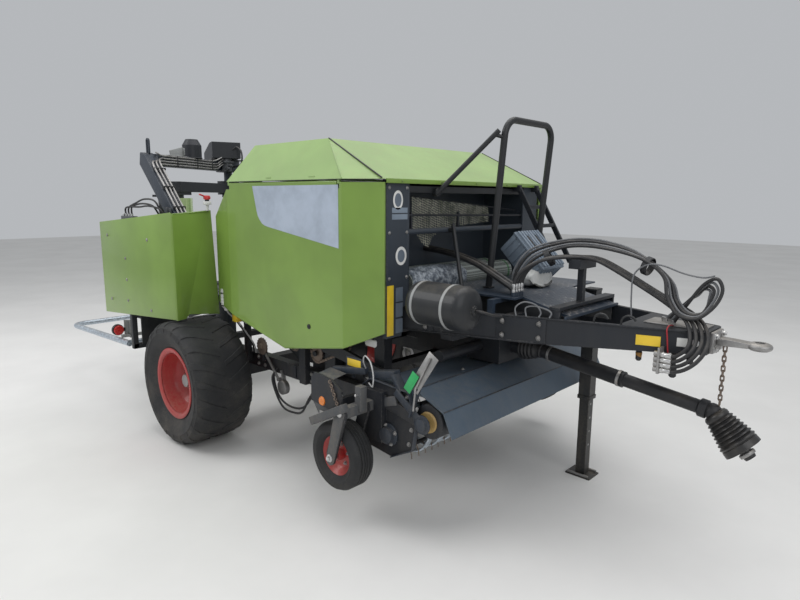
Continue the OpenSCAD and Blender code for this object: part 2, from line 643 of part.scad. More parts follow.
// Ladder at the left of the platform
ladder_y0 = 560;
ladder_y1 = 820;
module ladder() placed([0.11, 0.12, 0.14]) {
    for (y = [ladder_y0, ladder_y1]) {
        bar([body_front + 15, y, roof_base - 20], [2460, y, 1620], 18, 40);
        block([body_front - 20 + seat_gap, y - 13, roof_base - 60], [body_front + 40, y + 13, roof_base - 8]);
    }
    for (i = [1 : 3]) block([body_front + 5 + i * 85, ladder_y0, roof_base - 48 - i * 148],
        [body_front + 45 + i * 85, ladder_y1, roof_base - 20 - i * 148]);
}

// Air tank with its two straps
tank_y = -805;
tank_z = 1465;
tank_x = 2225;
module air_tank() placed([0.09, 0.09, 0.1]) {
    rod([tank_x, tank_y, tank_z], [tank_x + tank_l, tank_y, tank_z], tank_r);
    for (x = [tank_x + 80, tank_x + tank_l - 160]) {
        rod([x, tank_y, tank_z], [x + 35, tank_y, tank_z], tank_r + 3);
        block([x, tank_y, bar_top + seat_gap], [x + 35, -bar_y(x + 35) + 12, bar_top + 14]);
    }
    rod([tank_x + tank_l - 1, tank_y, tank_z], [tank_x + tank_l + 12, tank_y, tank_z], 25);
}

// Post with a block that the hoses rest on
support_at = [3000, -50, 1749];
module hose_support() placed([0.35, 0.36, 0.37]) {
    block(support_at + [-20, -20, bar_top + 70 - support_at[2]], support_at + [20, 20, -60]);
    block(support_at + [-40, -110, -61], support_at + [40, 110, -seat_gap]);
    block([support_at[0] - 35, -bar_y(support_at[0]), bar_top + 50], [support_at[0] + 35, bar_y(support_at[0]), bar_top + 71]);
    for (side = [-1, 1]) sided(side) block([support_at[0] - 35, bar_y(support_at[0]) - 20, bar_top + seat_gap],
        [support_at[0] + 35, bar_y(support_at[0]) - 4, bar_top + 51]);
}

// Ribbed grey box leaning on the platform
box_l = 360;
box_w = 300;
box_x = 2250;
box_y = 245;
box_h = 210;
box_tilt = 45;
module ribbed_box() placed([0.55, 0.57, 0.6])
    translate([box_x, box_y, deck_z + seat_gap + box_l * sin(box_tilt)])
        rotate([0, box_tilt, 0]) translate([0, -box_w / 2, 0]) cube([box_l, box_w, box_h]);

// Pick-up frame: side plates, lifting arms, cross tube and the guide wheels' forks
module pickup_frame() placed([0.13, 0.14, 0.15]) {
    for (side = [-1, 1]) sided(side) {
        plate_xz(pickup_y, 15) polygon([[1960, 500], [1960, 880], [2060, 960], [2400, 945], [2470, 740],
            [2440, 570], [2250, 470]]);
        difference() {
            plate_xz(beam_y + beam_w / 2 + 30, 25) union() {
                translate([pivot_x, pivot_z]) circle(55);
                polygon([[pivot_x, pivot_z - 50], [pivot_x, pivot_z + 50], [2130, 905], [2130, 840]]);
            }
            pin_y(pivot_x, pivot_z, beam_y, beam_y + 200, 25 + run_gap);
        }
        plate_xz(pickup_y + 16, 16) polygon([[2000, 950], [2100, 900], [press_x + 40, press_z + 20],
            [press_x + 30, press_z - 35], [press_x - 40, press_z - 30], [2060, 820]]);
        pin_y(2095, 800, pickup_y + 14, guide_y + guide_w / 2 + 22, 28);
        pin_y(press_x, press_z, pickup_y - 60, pickup_y + 45, 25);
        pin_y(reel_x, reel_z, pickup_y - 60, pickup_y + 1, 25);
        for (y = [guide_y - guide_w / 2 - 22, guide_y + guide_w / 2 + 8]) plate_xz(y, 14)
            polygon([[guide_x - 30, guide_z - 30], [guide_x - 35, guide_z + 30], [2060, 810], [2130, 835], [2140, 790],
                [guide_x + 35, guide_z - 30]]);
        pin_y(guide_x, guide_z, guide_y - guide_w / 2 - 10, guide_y + guide_w / 2 + 10, 16);
        block([1960, pickup_y + 14, 560], [2200, pickup_y + 60, 900]);
        plate_xz(guide_y + 10, 12) polygon([[1690, 770], [1690, 930], [1730, 975], [1900, 960], [2000, 900],
            [2000, 770], [1900, 745]]);
        block([1962, pickup_y + 40, 800], [1998, guide_y + 12, 850]);
    }
    pin_y(2110, 872, -pickup_y - 1, pickup_y + 1, 40);
}

// Hood of folded sheet over the press roller
module pickup_hood() placed([0.16, 0.2, 0.25]) {
    plate_xz(-pickup_y + 20, 2 * pickup_y - 40) polygon([[2050, 932], [2418, 956], [2646, 860], [2716, 712],
        [2709, 709], [2640, 854], [2417, 948], [2050, 924]]);
    for (side = [-1, 1]) sided(side) plate_xz(pickup_y - 21, 21 - seat_gap) polygon([[2200, 936], [2400, 950],
        [2400, 900], [2200, 890]]);
}

// Tined reel of the pick-up
reel_core_r = 130;
module pickup_reel() placed([0.5, 0.5, 0.48]) difference() {
    union() {
        pin_y(reel_x, reel_z, -pickup_y + 10, pickup_y - 10, reel_core_r);
        for (i = [-7 : 7], k = [0 : 3]) about_y(reel_x, i * 132, reel_z) rotate([0, 0, k * 90 + 45])
            translate([reel_core_r - 5, -4, -4]) cube([tine_r - reel_core_r + 5, 8, 8]);
    }
    for (side = [-1, 1]) sided(side) pin_y(reel_x, reel_z, pickup_y - 61, pickup_y, 25 + run_gap);
}

// Press roller in front of the reel
module press_roller() placed([0.14, 0.15, 0.16]) difference() {
    pin_y(press_x, press_z, -pickup_y + 25, pickup_y - 25, press_r);
    for (side = [-1, 1]) sided(side) pin_y(press_x, press_z, pickup_y - 61, pickup_y, 25 + run_gap);
}

// Guide wheels beside the pick-up
guide_rim_r = 130;
module guide_tyre(side) placed([0.08, 0.08, 0.08]) sided(side) about_y(guide_x, guide_y, guide_z)
    rotate_extrude() polygon([[guide_rim_r, -guide_w / 2 + 25], [guide_r - 20, -guide_w / 2],
        [guide_r, -guide_w / 2 + 35], [guide_r, guide_w / 2 - 35], [guide_r - 20, guide_w / 2], [guide_rim_r, guide_w / 2 - 25]]);
module guide_rim(side) placed([0.6, 0.16, 0.13]) sided(side) about_y(guide_x, guide_y, guide_z)
    rotate_extrude() polygon([[16 + run_gap, -55], [35, -55], [35, -10], [100, 5], [guide_rim_r - 10, -guide_w / 2 + 25],
        [guide_rim_r - seat_gap, -guide_w / 2 + 25], [guide_rim_r - seat_gap, guide_w / 2 - 25],
        [guide_rim_r - 12, guide_w / 2 - 25], [100, 20], [35, 5], [35, 55], [16 + run_gap, 55]]);

// Boom: foot beside the right chassis beam, leaning column and top arm to the rotor's hub
column_y = -1150;
hub_top = 2400;
rotor_shaft_r = 45;
module wrap_boom() placed([0.15, 0.17, 0.22]) {
    plate_xz(column_y - 60, 120) polygon([[-460, 1150], [-180, 1150], [-220, 1950], [-775, hub_top + 100],
        [-880, hub_top + 130], [-905, hub_top + 20], [-440, 1980]]);
    block([-450, column_y - 50, 1160], [-190, -beam_y - beam_w / 2 + 1, 1224]);
    block([-440, -beam_y - beam_w / 2, beam_z + beam_h + seat_gap], [-200, -beam_y + beam_w / 2, 1230]);
    bar([-810, column_y, hub_top + 60], [wrap_x, 0, hub_top + 60], 116, 108);
    translate([wrap_x, 0, hub_top]) cylinder(h = 140, r = 130);
    plate_xz(column_y - 8, 16) polygon([[-860, hub_top + 80], [-800, hub_top + 80],
        [-805, hub_top + 240], [-830, hub_top + 258], [-855, hub_top + 240]]);
    translate([wrap_x, 0, arm_z - 100]) cylinder(h = hub_top - arm_z + 101, r = rotor_shaft_r);
    translate([wrap_x, 0, arm_z - 100]) cylinder(h = 30 - seat_gap, r = rotor_shaft_r + 30);
}

// Cover of the drive on top of the boom
cover_h = 170;
drive_x = -1105;
drive_y = -575;
module boom_cover() placed([0.2, 0.22, 0.26]) {
    translate([wrap_x, -60, hub_top + 140 + seat_gap]) rotate([0, 0, -20])
        plate_xz(-150, 300) polygon([[-330, 0], [260, 0], [260, cover_h], [90, cover_h], [-330, cover_h / 2]]);
    translate([drive_x, drive_y, hub_top + 60 + 54 + seat_gap]) cylinder(h = 130, r = 95);
    translate([drive_x, drive_y, hub_top + 60 + 54 + 129]) cylinder(h = 60, r1 = 95, r2 = 60);
}

// Rotor: hub, two arms and the film dispensers at their ends
module wrap_rotor() placed([0.14, 0.13, 0.17]) translate([wrap_x, 0, 0]) rotate([0, 0, park_a]) difference() {
    union() {
        translate([0, 0, arm_z - 70]) cylinder(h = 150, r = 120);
        block([-60, -film_x - 60, arm_z - 50], [60, film_x + 60, arm_z + 50]);
        for (side = [-1, 1]) sided(side) {
            block([-200, film_x - 140, arm_z - 80], [50, film_x + 50, arm_z - 49]);
            translate([0, film_x, arm_z - 110]) cylinder(h = 31, r = 45);
            block([-200, film_x - 20, arm_z - 910], [-170, film_x + 45, arm_z - 79]);
            block([-270, film_x - 140, arm_z - 930], [-165, film_x + 46, arm_z - 909]);
            block([-270, film_x - 140, arm_z - 101], [-165, film_x + 46, arm_z - 79]);
            for (x = [-195, -240]) translate([x, film_x - 90 - (x + 195), arm_z - 910]) cylinder(h = 810, r = 27);
        }
    }
    translate([0, 0, arm_z - 101]) cylinder(h = 300, r = rotor_shaft_r + run_gap);
}

// Film rolls held under the rotor's arms
module film_rolls() placed([0.6, 0.72, 0.4]) translate([wrap_x, 0, 0]) rotate([0, 0, park_a])
    for (side = [-1, 1]) sided(side) translate([0, film_x, arm_z - 110 - seat_gap - film_h])
        cylinder(h = film_h, r = film_r);

// Wrapping table: side plates and belts, tilting on two pins
table_pivot_x = wrap_x - 330;
table_pivot_z = 830;
table_side_y = beam_y - beam_w / 2 - 30;
module wrap_table() placed([0.14, 0.15, 0.17]) {
    for (side = [-1, 1]) sided(side) difference() {
        union() {
            plate_xz(table_side_y - 20, 20) union() {
                polygon([[wrap_x - 430, 780], [wrap_x - 430, 1010], [wrap_x + 430, 1010], [wrap_x + 430, 900],
                    [wrap_x + 200, 840]]);
                for (s = [-1, 1]) translate([wrap_x + s * table_gap / 2, table_z]) circle(60);
            }
        }
        pin_y(table_pivot_x, table_pivot_z, table_side_y - 40, table_side_y + 40, 25 + run_gap);
        for (s = [-1, 1]) pin_y(wrap_x + s * table_gap / 2, table_z, table_side_y - 40, table_side_y + 40, 20 + run_gap);
    }
    pin_y(wrap_x, 880, -table_side_y + 19, table_side_y - 19, 40);
}
module table_roller(s) placed([0.3, 0.31, 0.33]) {
    x = wrap_x + s * table_gap / 2;
    pin_y(x, table_z, -table_y, table_y, table_roller_r);
    pin_y(x, table_z, -table_side_y - 2, table_side_y + 2, 20);
}

// Rear guard of bent tube
module rear_guard() placed([0.66, 0.7, 0.73]) {
    y = guard_tube_y;
    bend = guard_tube_bend;
    length = guard_tube_rear - guard_tube_front;
    translate([-guard_tube_front, 0, guard_tube_z0]) rotate([0, -atan(guard_tube_fall), 0]) {
        for (side = [-1, 1]) sided(side) {
            rod([0, y, 0], [-length + bend, y, 0], guard_tube_r);
            translate([-length + bend, y - bend, 0]) rotate([0, 0, 90])
                rotate_extrude(angle = 90) translate([bend, 0]) circle(guard_tube_r);
            rod([-60, beam_y + beam_w / 2 + seat_gap, 0], [-60, y, 0], guard_tube_r - 5);
        }
        rod([-length, -y + bend, 0], [-length, y - bend, 0], guard_tube_r);
    }
}

// Mudguard flaps behind the tyres
module mudguards() placed([0.07, 0.07, 0.07]) for (side = [-1, 1]) sided(side) {
    block([-700, track / 2 - tyre_w / 2, 760], [-688, track / 2 + tyre_w / 2 - 90, 1090]);
    block([-740, beam_y + beam_w / 2 + seat_gap, 700], [-699, track / 2 + 60, 780]);
}

// Tail lamps on their bracket plates
module lamps() placed([0.7, 0.08, 0.06]) for (side = [-1, 1]) sided(side) {
    block([-lamp_x, guard_tube_y - 40, guard_tube_z(lamp_x) + guard_tube_r + seat_gap + 0.6],
        [-lamp_x + 12, guard_tube_y + 100, 900]);
    rod([-lamp_x - 40, guard_tube_y + 40, 810], [-lamp_x + 1, guard_tube_y + 40, 810], 60);
}

// Hoses: each is a tube swept along its own route
function unit(v) = v / norm(v);
function ring(p, dir, r, n) = let (d = unit(dir), a = unit(cross(d, [0.03, 1, 0.02])), b = cross(d, a))
    [for (k = [0 : n - 1]) p + r * cos(k * 360 / n) * a + r * sin(k * 360 / n) * b];
module hose(route, r) {
    n = 8;
    m = len(route);
    rings = [for (i = [0 : m - 1]) each ring(route[i], route[min(i + 1, m - 1)] - route[max(i - 1, 0)], r, n)];
    polyhedron(points = rings, faces = concat([[for (k = [0 : n - 1]) k]],
        [for (i = [0 : m - 2], k = [0 : n - 1]) let (a = i * n + k, b = i * n + (k + 1) % n) [a, a + n, b + n, b]],
        [[for (k = [n - 1 : -1 : 0]) (m - 1) * n + k]]));
}
// Route of the first hose, and how far each further hose lies from it at the same point
hoses = 4;
hose_main = [[2700, -290, 1530], [2700, -290, 1565], [2708, -284, 1612], [2728, -268, 1662], [2762, -240, 1706],
    [2810, -198, 1740], [2868, -142, 1756], [2930, -82, 1761], [2990, -46, 1760], [3055, -28, 1760],
    [3130, -14, 1744], [3220, -6, 1704], [3320, -2, 1654], [3420, 0, 1602], [3520, -4, 1554], [3616, -18, 1512],
    [3704, -56, 1478], [3776, -114, 1436], [3818, -176, 1376], [3820, -226, 1312], [3788, -252, 1250],
    [3732, -256, 1200], [3668, -242, 1172], [3604, -242, 1172]];
hose_step = [[0, -30, 0], [0, -30, 0], [0, -30, 0], [2, -30, 0], [6, -29, 0], [10, -28, 0], [13, -27, 0], [10, -28, 0],
    [4, -29, 0], [0, -30, 0], [0, -30, 0], [0, -30, 0], [0, -30, 0], [0, -30, 0], [-3, -29, 0], [-10, -27, 0],
    [-18, -22, 0], [-25, -15, 0], [-29, -7, 0], [-28, -1, 7], [-22, 3, 18], [-12, 4, 26], [0, 0, 30], [0, 0, 30]];
module hose_line(k) placed([0.05, 0.05, 0.05]) hose([for (i = [0 : len(hose_main) - 1]) hose_main[i] + k * hose_step[i]], hose_r);

// Parking bracket under the drawbar's right side, with a socket for each hose
holder_x = 3600;
module plug_holder() placed([0.3, 0.3, 0.32]) {
    block([holder_x - 14, -262, 1150], [holder_x - 2, -bar_y(holder_x - 14) - seat_gap, 1300]);
    last = len(hose_main) - 1;
    for (k = [0 : hoses - 1]) {
        at = hose_main[last] + k * hose_step[last];
        rod(at - [40, 0, 0], at, hose_r + 5);
    }
}

frame();
axle();
tyre(-1);  // tyre_right
rim(-1);  // rim_right
tyre(1);  // tyre_left
rim(1);  // rim_left
chamber_front();
tailgate();
front_frame();
net_rolls();
roof();
door(-1);  // door_right
door(1);  // door_left
guard(-1);  // guard_right
guard(1);  // guard_left
drawbar();
hitch_eye();
gearbox();
pto_shaft();
pto_cone();
support_chain();
jack_tube();
jack_leg();
deck();
hoop_rail();
ladder();
air_tank();
hose_support();
ribbed_box();
pickup_frame();
pickup_hood();
pickup_reel();
press_roller();
guide_tyre(-1);  // guide_tyre_right
guide_rim(-1);  // guide_rim_right
guide_tyre(1);  // guide_tyre_left
guide_rim(1);  // guide_rim_left
wrap_boom();
boom_cover();
wrap_rotor();
film_rolls();
wrap_table();
table_roller(1);  // table_roller_front
table_roller(-1);  // table_roller_rear
rear_guard();
mudguards();
lamps();
hose_line(0);  // hose_1
hose_line(1);  // hose_2
hose_line(2);  // hose_3
hose_line(3);  // hose_4
plug_holder();
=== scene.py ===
import random
from math import acos, atan2, cos, hypot, pi, radians, sin

import bpy
from mathutils import Matrix, Vector


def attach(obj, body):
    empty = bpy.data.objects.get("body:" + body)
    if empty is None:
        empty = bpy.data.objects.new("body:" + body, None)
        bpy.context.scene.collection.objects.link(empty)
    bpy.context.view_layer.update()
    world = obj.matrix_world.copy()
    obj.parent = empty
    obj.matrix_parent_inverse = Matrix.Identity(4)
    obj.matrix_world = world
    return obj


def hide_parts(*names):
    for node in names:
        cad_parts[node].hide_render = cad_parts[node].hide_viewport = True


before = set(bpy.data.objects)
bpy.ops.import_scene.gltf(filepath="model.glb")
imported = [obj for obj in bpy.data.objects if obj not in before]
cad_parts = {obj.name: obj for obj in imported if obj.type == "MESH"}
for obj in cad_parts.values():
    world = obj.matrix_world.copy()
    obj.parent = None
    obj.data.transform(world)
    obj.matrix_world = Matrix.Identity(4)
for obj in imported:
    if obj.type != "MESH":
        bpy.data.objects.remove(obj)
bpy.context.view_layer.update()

# X is counted from the axle in this script; the frame's origin lies this far in front of it
AXLE_TO_MIDDLE = 0.586
SIDES = ((-1, "right"), (1, "left"))
X, Y, Z = (Vector(axis) for axis in ((1, 0, 0), (0, 1, 0), (0, 0, 1)))


def at(x, y, z):
    """A place given from the axle, in the frame's own metres."""
    return Vector((x - AXLE_TO_MIDDLE, y, z))


def on(side):
    """Like at, with y counted away from the middle on one side of the machine."""
    return lambda x, y, z: at(x, side * y, z)


def side_view(points):
    """An outline of (x, z) from the axle, in the frame's own metres."""
    return [(x - AXLE_TO_MIDDLE, z) for x, z in points]


def both_sides(make):
    """What a function makes for the right side, then for the left."""
    return [make(*side_word) for side_word in SIDES]


# ---------------------------------------------------------------- camera
CAMERA_PLACE = at(4.758, -3.600, 2.122)
CAMERA_TURN, CAMERA_PITCH, CAMERA_ROLL = (radians(a) for a in (43.636, 9.806, -0.402))
FOCAL_PIXELS, PICTURE_WIDTH, SENSOR_WIDTH = 588.17, 800, 36


def make_camera():
    """The photograph's own view, as solved from the machine's straight edges."""
    turn, pitch, roll = CAMERA_TURN, CAMERA_PITCH, CAMERA_ROLL
    right = Vector((cos(turn), sin(turn), 0))
    ahead = Vector((-sin(turn), cos(turn), 0))
    look = cos(pitch) * ahead - sin(pitch) * Z
    down = -(sin(pitch) * ahead + cos(pitch) * Z)
    across = cos(roll) * right + sin(roll) * down
    down = -sin(roll) * right + cos(roll) * down
    lens = bpy.data.cameras.new("camera")
    lens.sensor_width = SENSOR_WIDTH
    lens.lens = FOCAL_PIXELS / PICTURE_WIDTH * SENSOR_WIDTH
    lens.clip_end = 100
    camera = bpy.data.objects.new("camera", lens)
    bpy.context.collection.objects.link(camera)
    place = CAMERA_PLACE
    camera.matrix_world = Matrix(((across.x, -down.x, -look.x, place.x), (across.y, -down.y, -look.y, place.y),
        (across.z, -down.z, -look.z, place.z), (0, 0, 0, 1)))
    bpy.context.scene.camera = camera


make_camera()


# ---------------------------------------------------------------- materials
class Wire:
    """A socket in a material, used like a number in an expression."""

    def __init__(self, shade, link):
        self.shade, self.link = shade, link

    def _do(self, operation, a, b=None):
        inputs = [a] if b is None else [a, b]
        return self.shade.node("Math", {"operation": operation}, dict(enumerate(inputs)))

    def __add__(self, other): return self._do("ADD", self, other)
    def __radd__(self, other): return self._do("ADD", other, self)
    def __sub__(self, other): return self._do("SUBTRACT", self, other)
    def __rsub__(self, other): return self._do("SUBTRACT", other, self)
    def __mul__(self, other): return self._do("MULTIPLY", self, other)
    def __rmul__(self, other): return self._do("MULTIPLY", other, self)
    def __gt__(self, other): return self._do("GREATER_THAN", self, other)
    def __lt__(self, other): return self._do("LESS_THAN", self, other)
    def low(self, other): return self._do("MINIMUM", self, other)
    def high(self, other): return self._do("MAXIMUM", self, other)
    def wave(self): return self._do("SINE", self)
    def size(self): return self._do("ABSOLUTE", self)

    def step(self, start, end):
        """0 below start, 1 above end, smooth between them."""
        return self.shade.node("MapRange", {"interpolation_type": "SMOOTHSTEP"},
            {"Value": self, "From Min": start, "From Max": end, "To Min": 0.0, "To Max": 1.0})


class Shade:
    """One material and the nodes in it."""

    def __init__(self, name):
        self.material = bpy.data.materials.new(name)
        self.material.use_nodes = True
        self.tree = self.material.node_tree
        self.tree.nodes.clear()
        self.out = self.tree.nodes.new("ShaderNodeOutputMaterial")
        self.place = self.node("TexCoord", {}, {}, "Object")
        apart = self.node("SeparateXYZ", {}, {0: self.place}, None)
        self.x, self.y, self.z = (Wire(self, apart.outputs[i]) for i in range(3))
        facing = self.node("SeparateXYZ", {}, {0: self.node("NewGeometry", {}, {}, "Normal")}, None)
        self.up = Wire(self, facing.outputs[2])

    def put(self, socket, value):
        """Links a socket to a wire or gives it a value; a colour gets its fourth number."""
        if isinstance(value, Wire):
            self.tree.links.new(value.link, socket)
        else:
            socket.default_value = (*value, 1) if socket.type == "RGBA" else value

    def node(self, kind, settings, inputs, output=0):
        """A node and one of its outputs as a wire, or the node itself when output is None."""
        made = self.tree.nodes.new("ShaderNode" + kind)
        for key, value in settings.items():
            setattr(made, key, value)
        for key, value in inputs.items():
            self.put(made.inputs[key], value)
        return made if output is None else Wire(self, made.outputs[output])

    def stretched(self, sx, sy, sz):
        """The place, with each coordinate scaled."""
        return self.node("Mapping", {}, {"Vector": self.place, "Scale": (sx, sy, sz)})

    def noise(self, scale, detail, rough=0.6, stretch=(1, 1, 1)):
        """Cloudy noise in the place, finer with a larger scale."""
        place = self.place if stretch == (1, 1, 1) else self.stretched(*stretch)
        return self.node("TexNoise", {}, {"Vector": place, "Scale": scale, "Detail": detail, "Roughness": rough})

    def mix(self, share, a, b):
        """Colour a where share is 0, and b where it is 1."""
        made = self.node("Mix", {"data_type": "RGBA"}, {0: share, 6: a, 7: b}, None)
        return Wire(self, made.outputs[2])

    def tint(self, colour, amount, noise):
        """A colour that gets lighter and darker with a noise."""
        dark = tuple(c * (1 - amount) for c in colour)
        light = tuple(min(1.0, c * (1 + amount)) for c in colour)
        return self.mix(noise.step(0.3, 0.7), dark, light)

    def softened(self, radius):
        """The normal, rounded over sharp edges."""
        return self.node("Bevel", {"samples": 4}, {"Radius": radius})

    def rubbed(self, soft):
        """1 on outer edges, where paint wears."""
        sharp = self.node("NewGeometry", {}, {}, "Normal")
        along = self.node("VectorMath", {"operation": "DOT_PRODUCT"}, {0: soft, 1: sharp}, "Value")
        return (1.0 - along).step(0.02, 0.2)

    def finish(self, colour, rough, bump, height, coat=0.0, soft=None, metal=0.0):
        """Ends the material; height is how deep the bump goes, in metres."""
        normal = {"Strength": 1.0, "Distance": height, "Height": bump}
        if soft is not None:
            normal["Normal"] = soft
        body = self.node("BsdfPrincipled", {}, {"Base Color": colour, "Roughness": rough, "Metallic": metal,
            "Coat Weight": coat, "Normal": self.node("Bump", {}, normal)}, None)
        self.tree.links.new(body.outputs[0], self.out.inputs[0])
        return self.material


DUST = (0.36, 0.30, 0.215)
STEEL = (0.33, 0.31, 0.29)


def painted(name, colour, dusty, worn, rough, coat):
    """Machine paint: faded in patches, scratched at its edges, with dust low down and on what faces up."""
    s = Shade(name)
    soft = s.softened(0.006)
    patches = s.noise(1.6, 3.0)
    fine = s.noise(55.0, 5.0, 0.7)
    streaks = s.noise(5.0, 5.0, 0.65, (3.0, 3.0, 0.35))
    paint = s.tint(colour, 0.10, patches)
    lying = s.up.step(0.35, 1.0)
    lower = 1.0 - s.z.step(0.15, 1.5)
    dust = (lying * 0.75 + lower * 0.8 + 0.12) * (streaks * 0.6 + fine * 0.55).step(0.38, 0.8) * dusty
    chips = s.rubbed(soft) * fine.step(0.48, 0.62) * worn
    scuffs = (s.noise(9.0, 8.0, 0.75, (1.0, 1.0, 2.6)) > 0.69) * 0.3 * worn
    base = s.mix(dust.low(0.85), s.mix(chips.high(scuffs), paint, STEEL), DUST)
    gloss = (rough + 0.12 * patches + 0.4 * dust + 0.15 * fine).low(0.95)
    shine = (1.0 - dust * 1.4).high(0.0) * coat
    return s.finish(base, gloss, fine + 0.5 * streaks, 0.0005, shine, soft)


def bare(name, colour, rough, rust, metal=0.85):
    """Steel without paint: ground marks, dull patches and a little rust."""
    s = Shade(name)
    soft = s.softened(0.004)
    grain = s.noise(130.0, 4.0, 0.7, (1.0, 0.12, 1.0))
    patches = s.noise(7.0, 6.0, 0.7)
    spots = (s.noise(38.0, 7.0, 0.75) * 0.6 + patches * 0.4).step(0.56, 0.66) * rust
    lying = s.up.step(0.4, 1.0) * 0.3
    base = s.mix(lying, s.mix(spots, s.tint(colour, 0.22, patches), (0.16, 0.065, 0.025)), DUST)
    return s.finish(base, (rough + 0.2 * grain + 0.35 * spots).low(0.95), grain, 0.0004, 0.0, soft,
        metal=metal - spots * metal)


def zinc(name):
    """Galvanised steel with its spangle."""
    s = Shade(name)
    soft = s.softened(0.004)
    spangle = s.node("TexVoronoi", {}, {"Vector": s.place, "Scale": 55.0}, "Color")
    shade = s.node("SeparateColor", {}, {0: spangle}, 0)
    cloud = s.noise(3.5, 5.0)
    base = s.mix(s.up.step(0.5, 1.0) * 0.25, s.tint((0.5, 0.56, 0.62), 0.16, shade * 0.5 + cloud * 0.5), DUST)
    return s.finish(base, 0.34 + 0.22 * shade, cloud, 0.0004, 0.0, soft, metal=0.75)


def rubber_tyre(name, colour=(0.015, 0.016, 0.018), mud=0.24, low=0.9):
    """Tyre rubber: grey where it weathers, earth in its grooves and on its lower part."""
    s = Shade(name)
    soft = s.softened(0.006)
    cloud = s.noise(4.0, 6.0, 0.65)
    fine = s.noise(90.0, 6.0, 0.75)
    earth = (cloud * 0.6 + fine * 0.5).step(0.46, 0.78) * ((1.0 - s.z.step(0.0, low)) * 0.6 + 0.35 + s.rubbed(soft) *
        0.35) * mud
    base = s.mix(earth.low(0.8), s.tint(colour, 0.25, cloud), (0.30, 0.25, 0.185))
    return s.finish(base, (0.62 + 0.25 * earth + 0.1 * fine).low(0.95), fine + cloud * 0.6, 0.0012, 0.0, soft)


def plastic(name, colour, rough, grain, dusty, coat=0.0):
    """Moulded plastic or sheet with a fine grain and some dust."""
    s = Shade(name)
    soft = s.softened(0.003)
    fine = s.noise(240.0, 3.0, 0.6)
    cloud = s.noise(5.0, 5.0)
    dust = ((s.up.step(0.2, 1.0) * 0.7 + 0.25) * cloud.step(0.4, 0.8) + s.rubbed(soft) * 0.3) * dusty
    base = s.mix(dust.low(0.8), s.tint(colour, 0.14, cloud), DUST)
    return s.finish(base, (rough + 0.3 * dust + 0.08 * fine).low(0.95), fine, grain, coat, soft)


def hose_rubber(name, colour=(0.022, 0.022, 0.024)):
    """Hose cover with the faint print of its cloth wrap, greyed in patches on what faces up."""
    s = Shade(name)
    cloth = ((s.x + s.y * 1.3 + s.z * 0.7) * 900.0).wave() * 0.5 + 0.5
    cloud = s.noise(12.0, 5.0)
    base = s.mix(s.up.step(0.2, 1.0) * cloud.step(0.35, 0.75) * 0.4, s.tint(colour, 0.2, cloud), (0.22, 0.19, 0.15))
    return s.finish(base, 0.42 + 0.18 * cloud, cloth, 0.00025)


def wound_film(name):
    """Stretch film wound tight: glossy pale green, with light and dark upright bands that are painted reflections."""
    s = Shade(name)
    bands = s.noise(26.0, 3.0, 0.5, (1.0, 1.0, 0.04))
    wraps = s.noise(160.0, 2.0, 0.5, (0.2, 0.2, 1.0))
    # painted reflection: the light upright bands stand for streaks of light on the glossy roll
    base = s.mix(bands.step(0.35, 0.65), (0.30, 0.44, 0.16), (0.58, 0.72, 0.38))
    return s.finish(base, 0.2 + 0.15 * wraps, wraps, 0.0004, 0.5)


def wound_net(name):
    """Knitted net wound on its roll: fine pale diamonds with green marker threads, on a near-black ground of painted
    shade.
    """
    s = Shade(name)
    warp = (s.y * 620.0).wave() * 0.5 + 0.5
    weft = ((s.z + s.x) * 420.0).wave() * 0.5 + 0.5
    weave = warp.high(weft)
    marker = ((s.y.size() > 0.56) * (s.y.size() < 0.585)).low(1.0)
    thread = s.mix(marker, (0.30, 0.33, 0.31), (0.08, 0.22, 0.09))
    # painted shade: the near-black ground between the threads stands for the shadow the rolls sit in
    base = s.mix(weave.step(0.45, 0.8), (0.03, 0.035, 0.035), thread)
    return s.finish(base, 0.72, weave, 0.0008)


def lens(name, colour):
    """Ribbed lamp lens."""
    s = Shade(name)
    ribs = ((s.y + s.z) * 900.0).wave() * 0.5 + 0.5
    fog = s.noise(14.0, 4.0)
    base = s.mix(fog.step(0.45, 0.8) * 0.25, s.tint(colour, 0.2, ribs), DUST)
    return s.finish(base, 0.16 + 0.2 * fog, ribs, 0.0008, 0.6)


def belt(name):
    """Woven rubber belt of the wrapping table."""
    s = Shade(name)
    weave = ((s.x * 500.0).wave() * (s.y * 500.0).wave()) * 0.5 + 0.5
    cloud = s.noise(5.0, 5.0)
    base = s.mix(cloud.step(0.4, 0.8) * 0.5, (0.035, 0.035, 0.037), (0.2, 0.19, 0.16))
    return s.finish(base, 0.68 + 0.12 * cloud, weave, 0.0007)


def open_net(name):
    """Loose knitted net hanging in folds: pale threads with holes between them."""
    s = Shade(name)
    warp = (s.y * 260.0).wave().size()
    weft = ((s.z + s.y * 0.35) * 190.0).wave().size()
    thread = (1.0 - warp.low(weft).step(0.18, 0.42)).high(s.noise(30.0, 4.0).step(0.6, 0.68) * 0.8)
    base = s.mix(s.noise(11.0, 4.0).step(0.4, 0.65), (0.42, 0.42, 0.34), (0.16, 0.17, 0.12))
    body = s.finish(base, 0.75, warp + weft, 0.001)
    shell = body.node_tree.nodes["Principled BSDF"]
    s.tree.links.new(thread.link, shell.inputs["Alpha"])
    return body


def creased_film(name):
    """Crumpled grey-blue plastic film, with painted shade in its creases."""
    s = Shade(name)
    crease = s.noise(34.0, 6.0, 0.7)
    facet = s.node("TexVoronoi", {}, {"Vector": s.place, "Scale": 26.0}, "Distance")
    # painted shade: the colour goes dark where the crease noise is low, in the hollows of the bump
    base = s.mix(crease.step(0.4, 0.65), (0.10, 0.12, 0.15), (0.42, 0.46, 0.50))
    return s.finish(base, 0.22 + 0.2 * crease, crease + facet * 0.5, 0.004, 0.4)


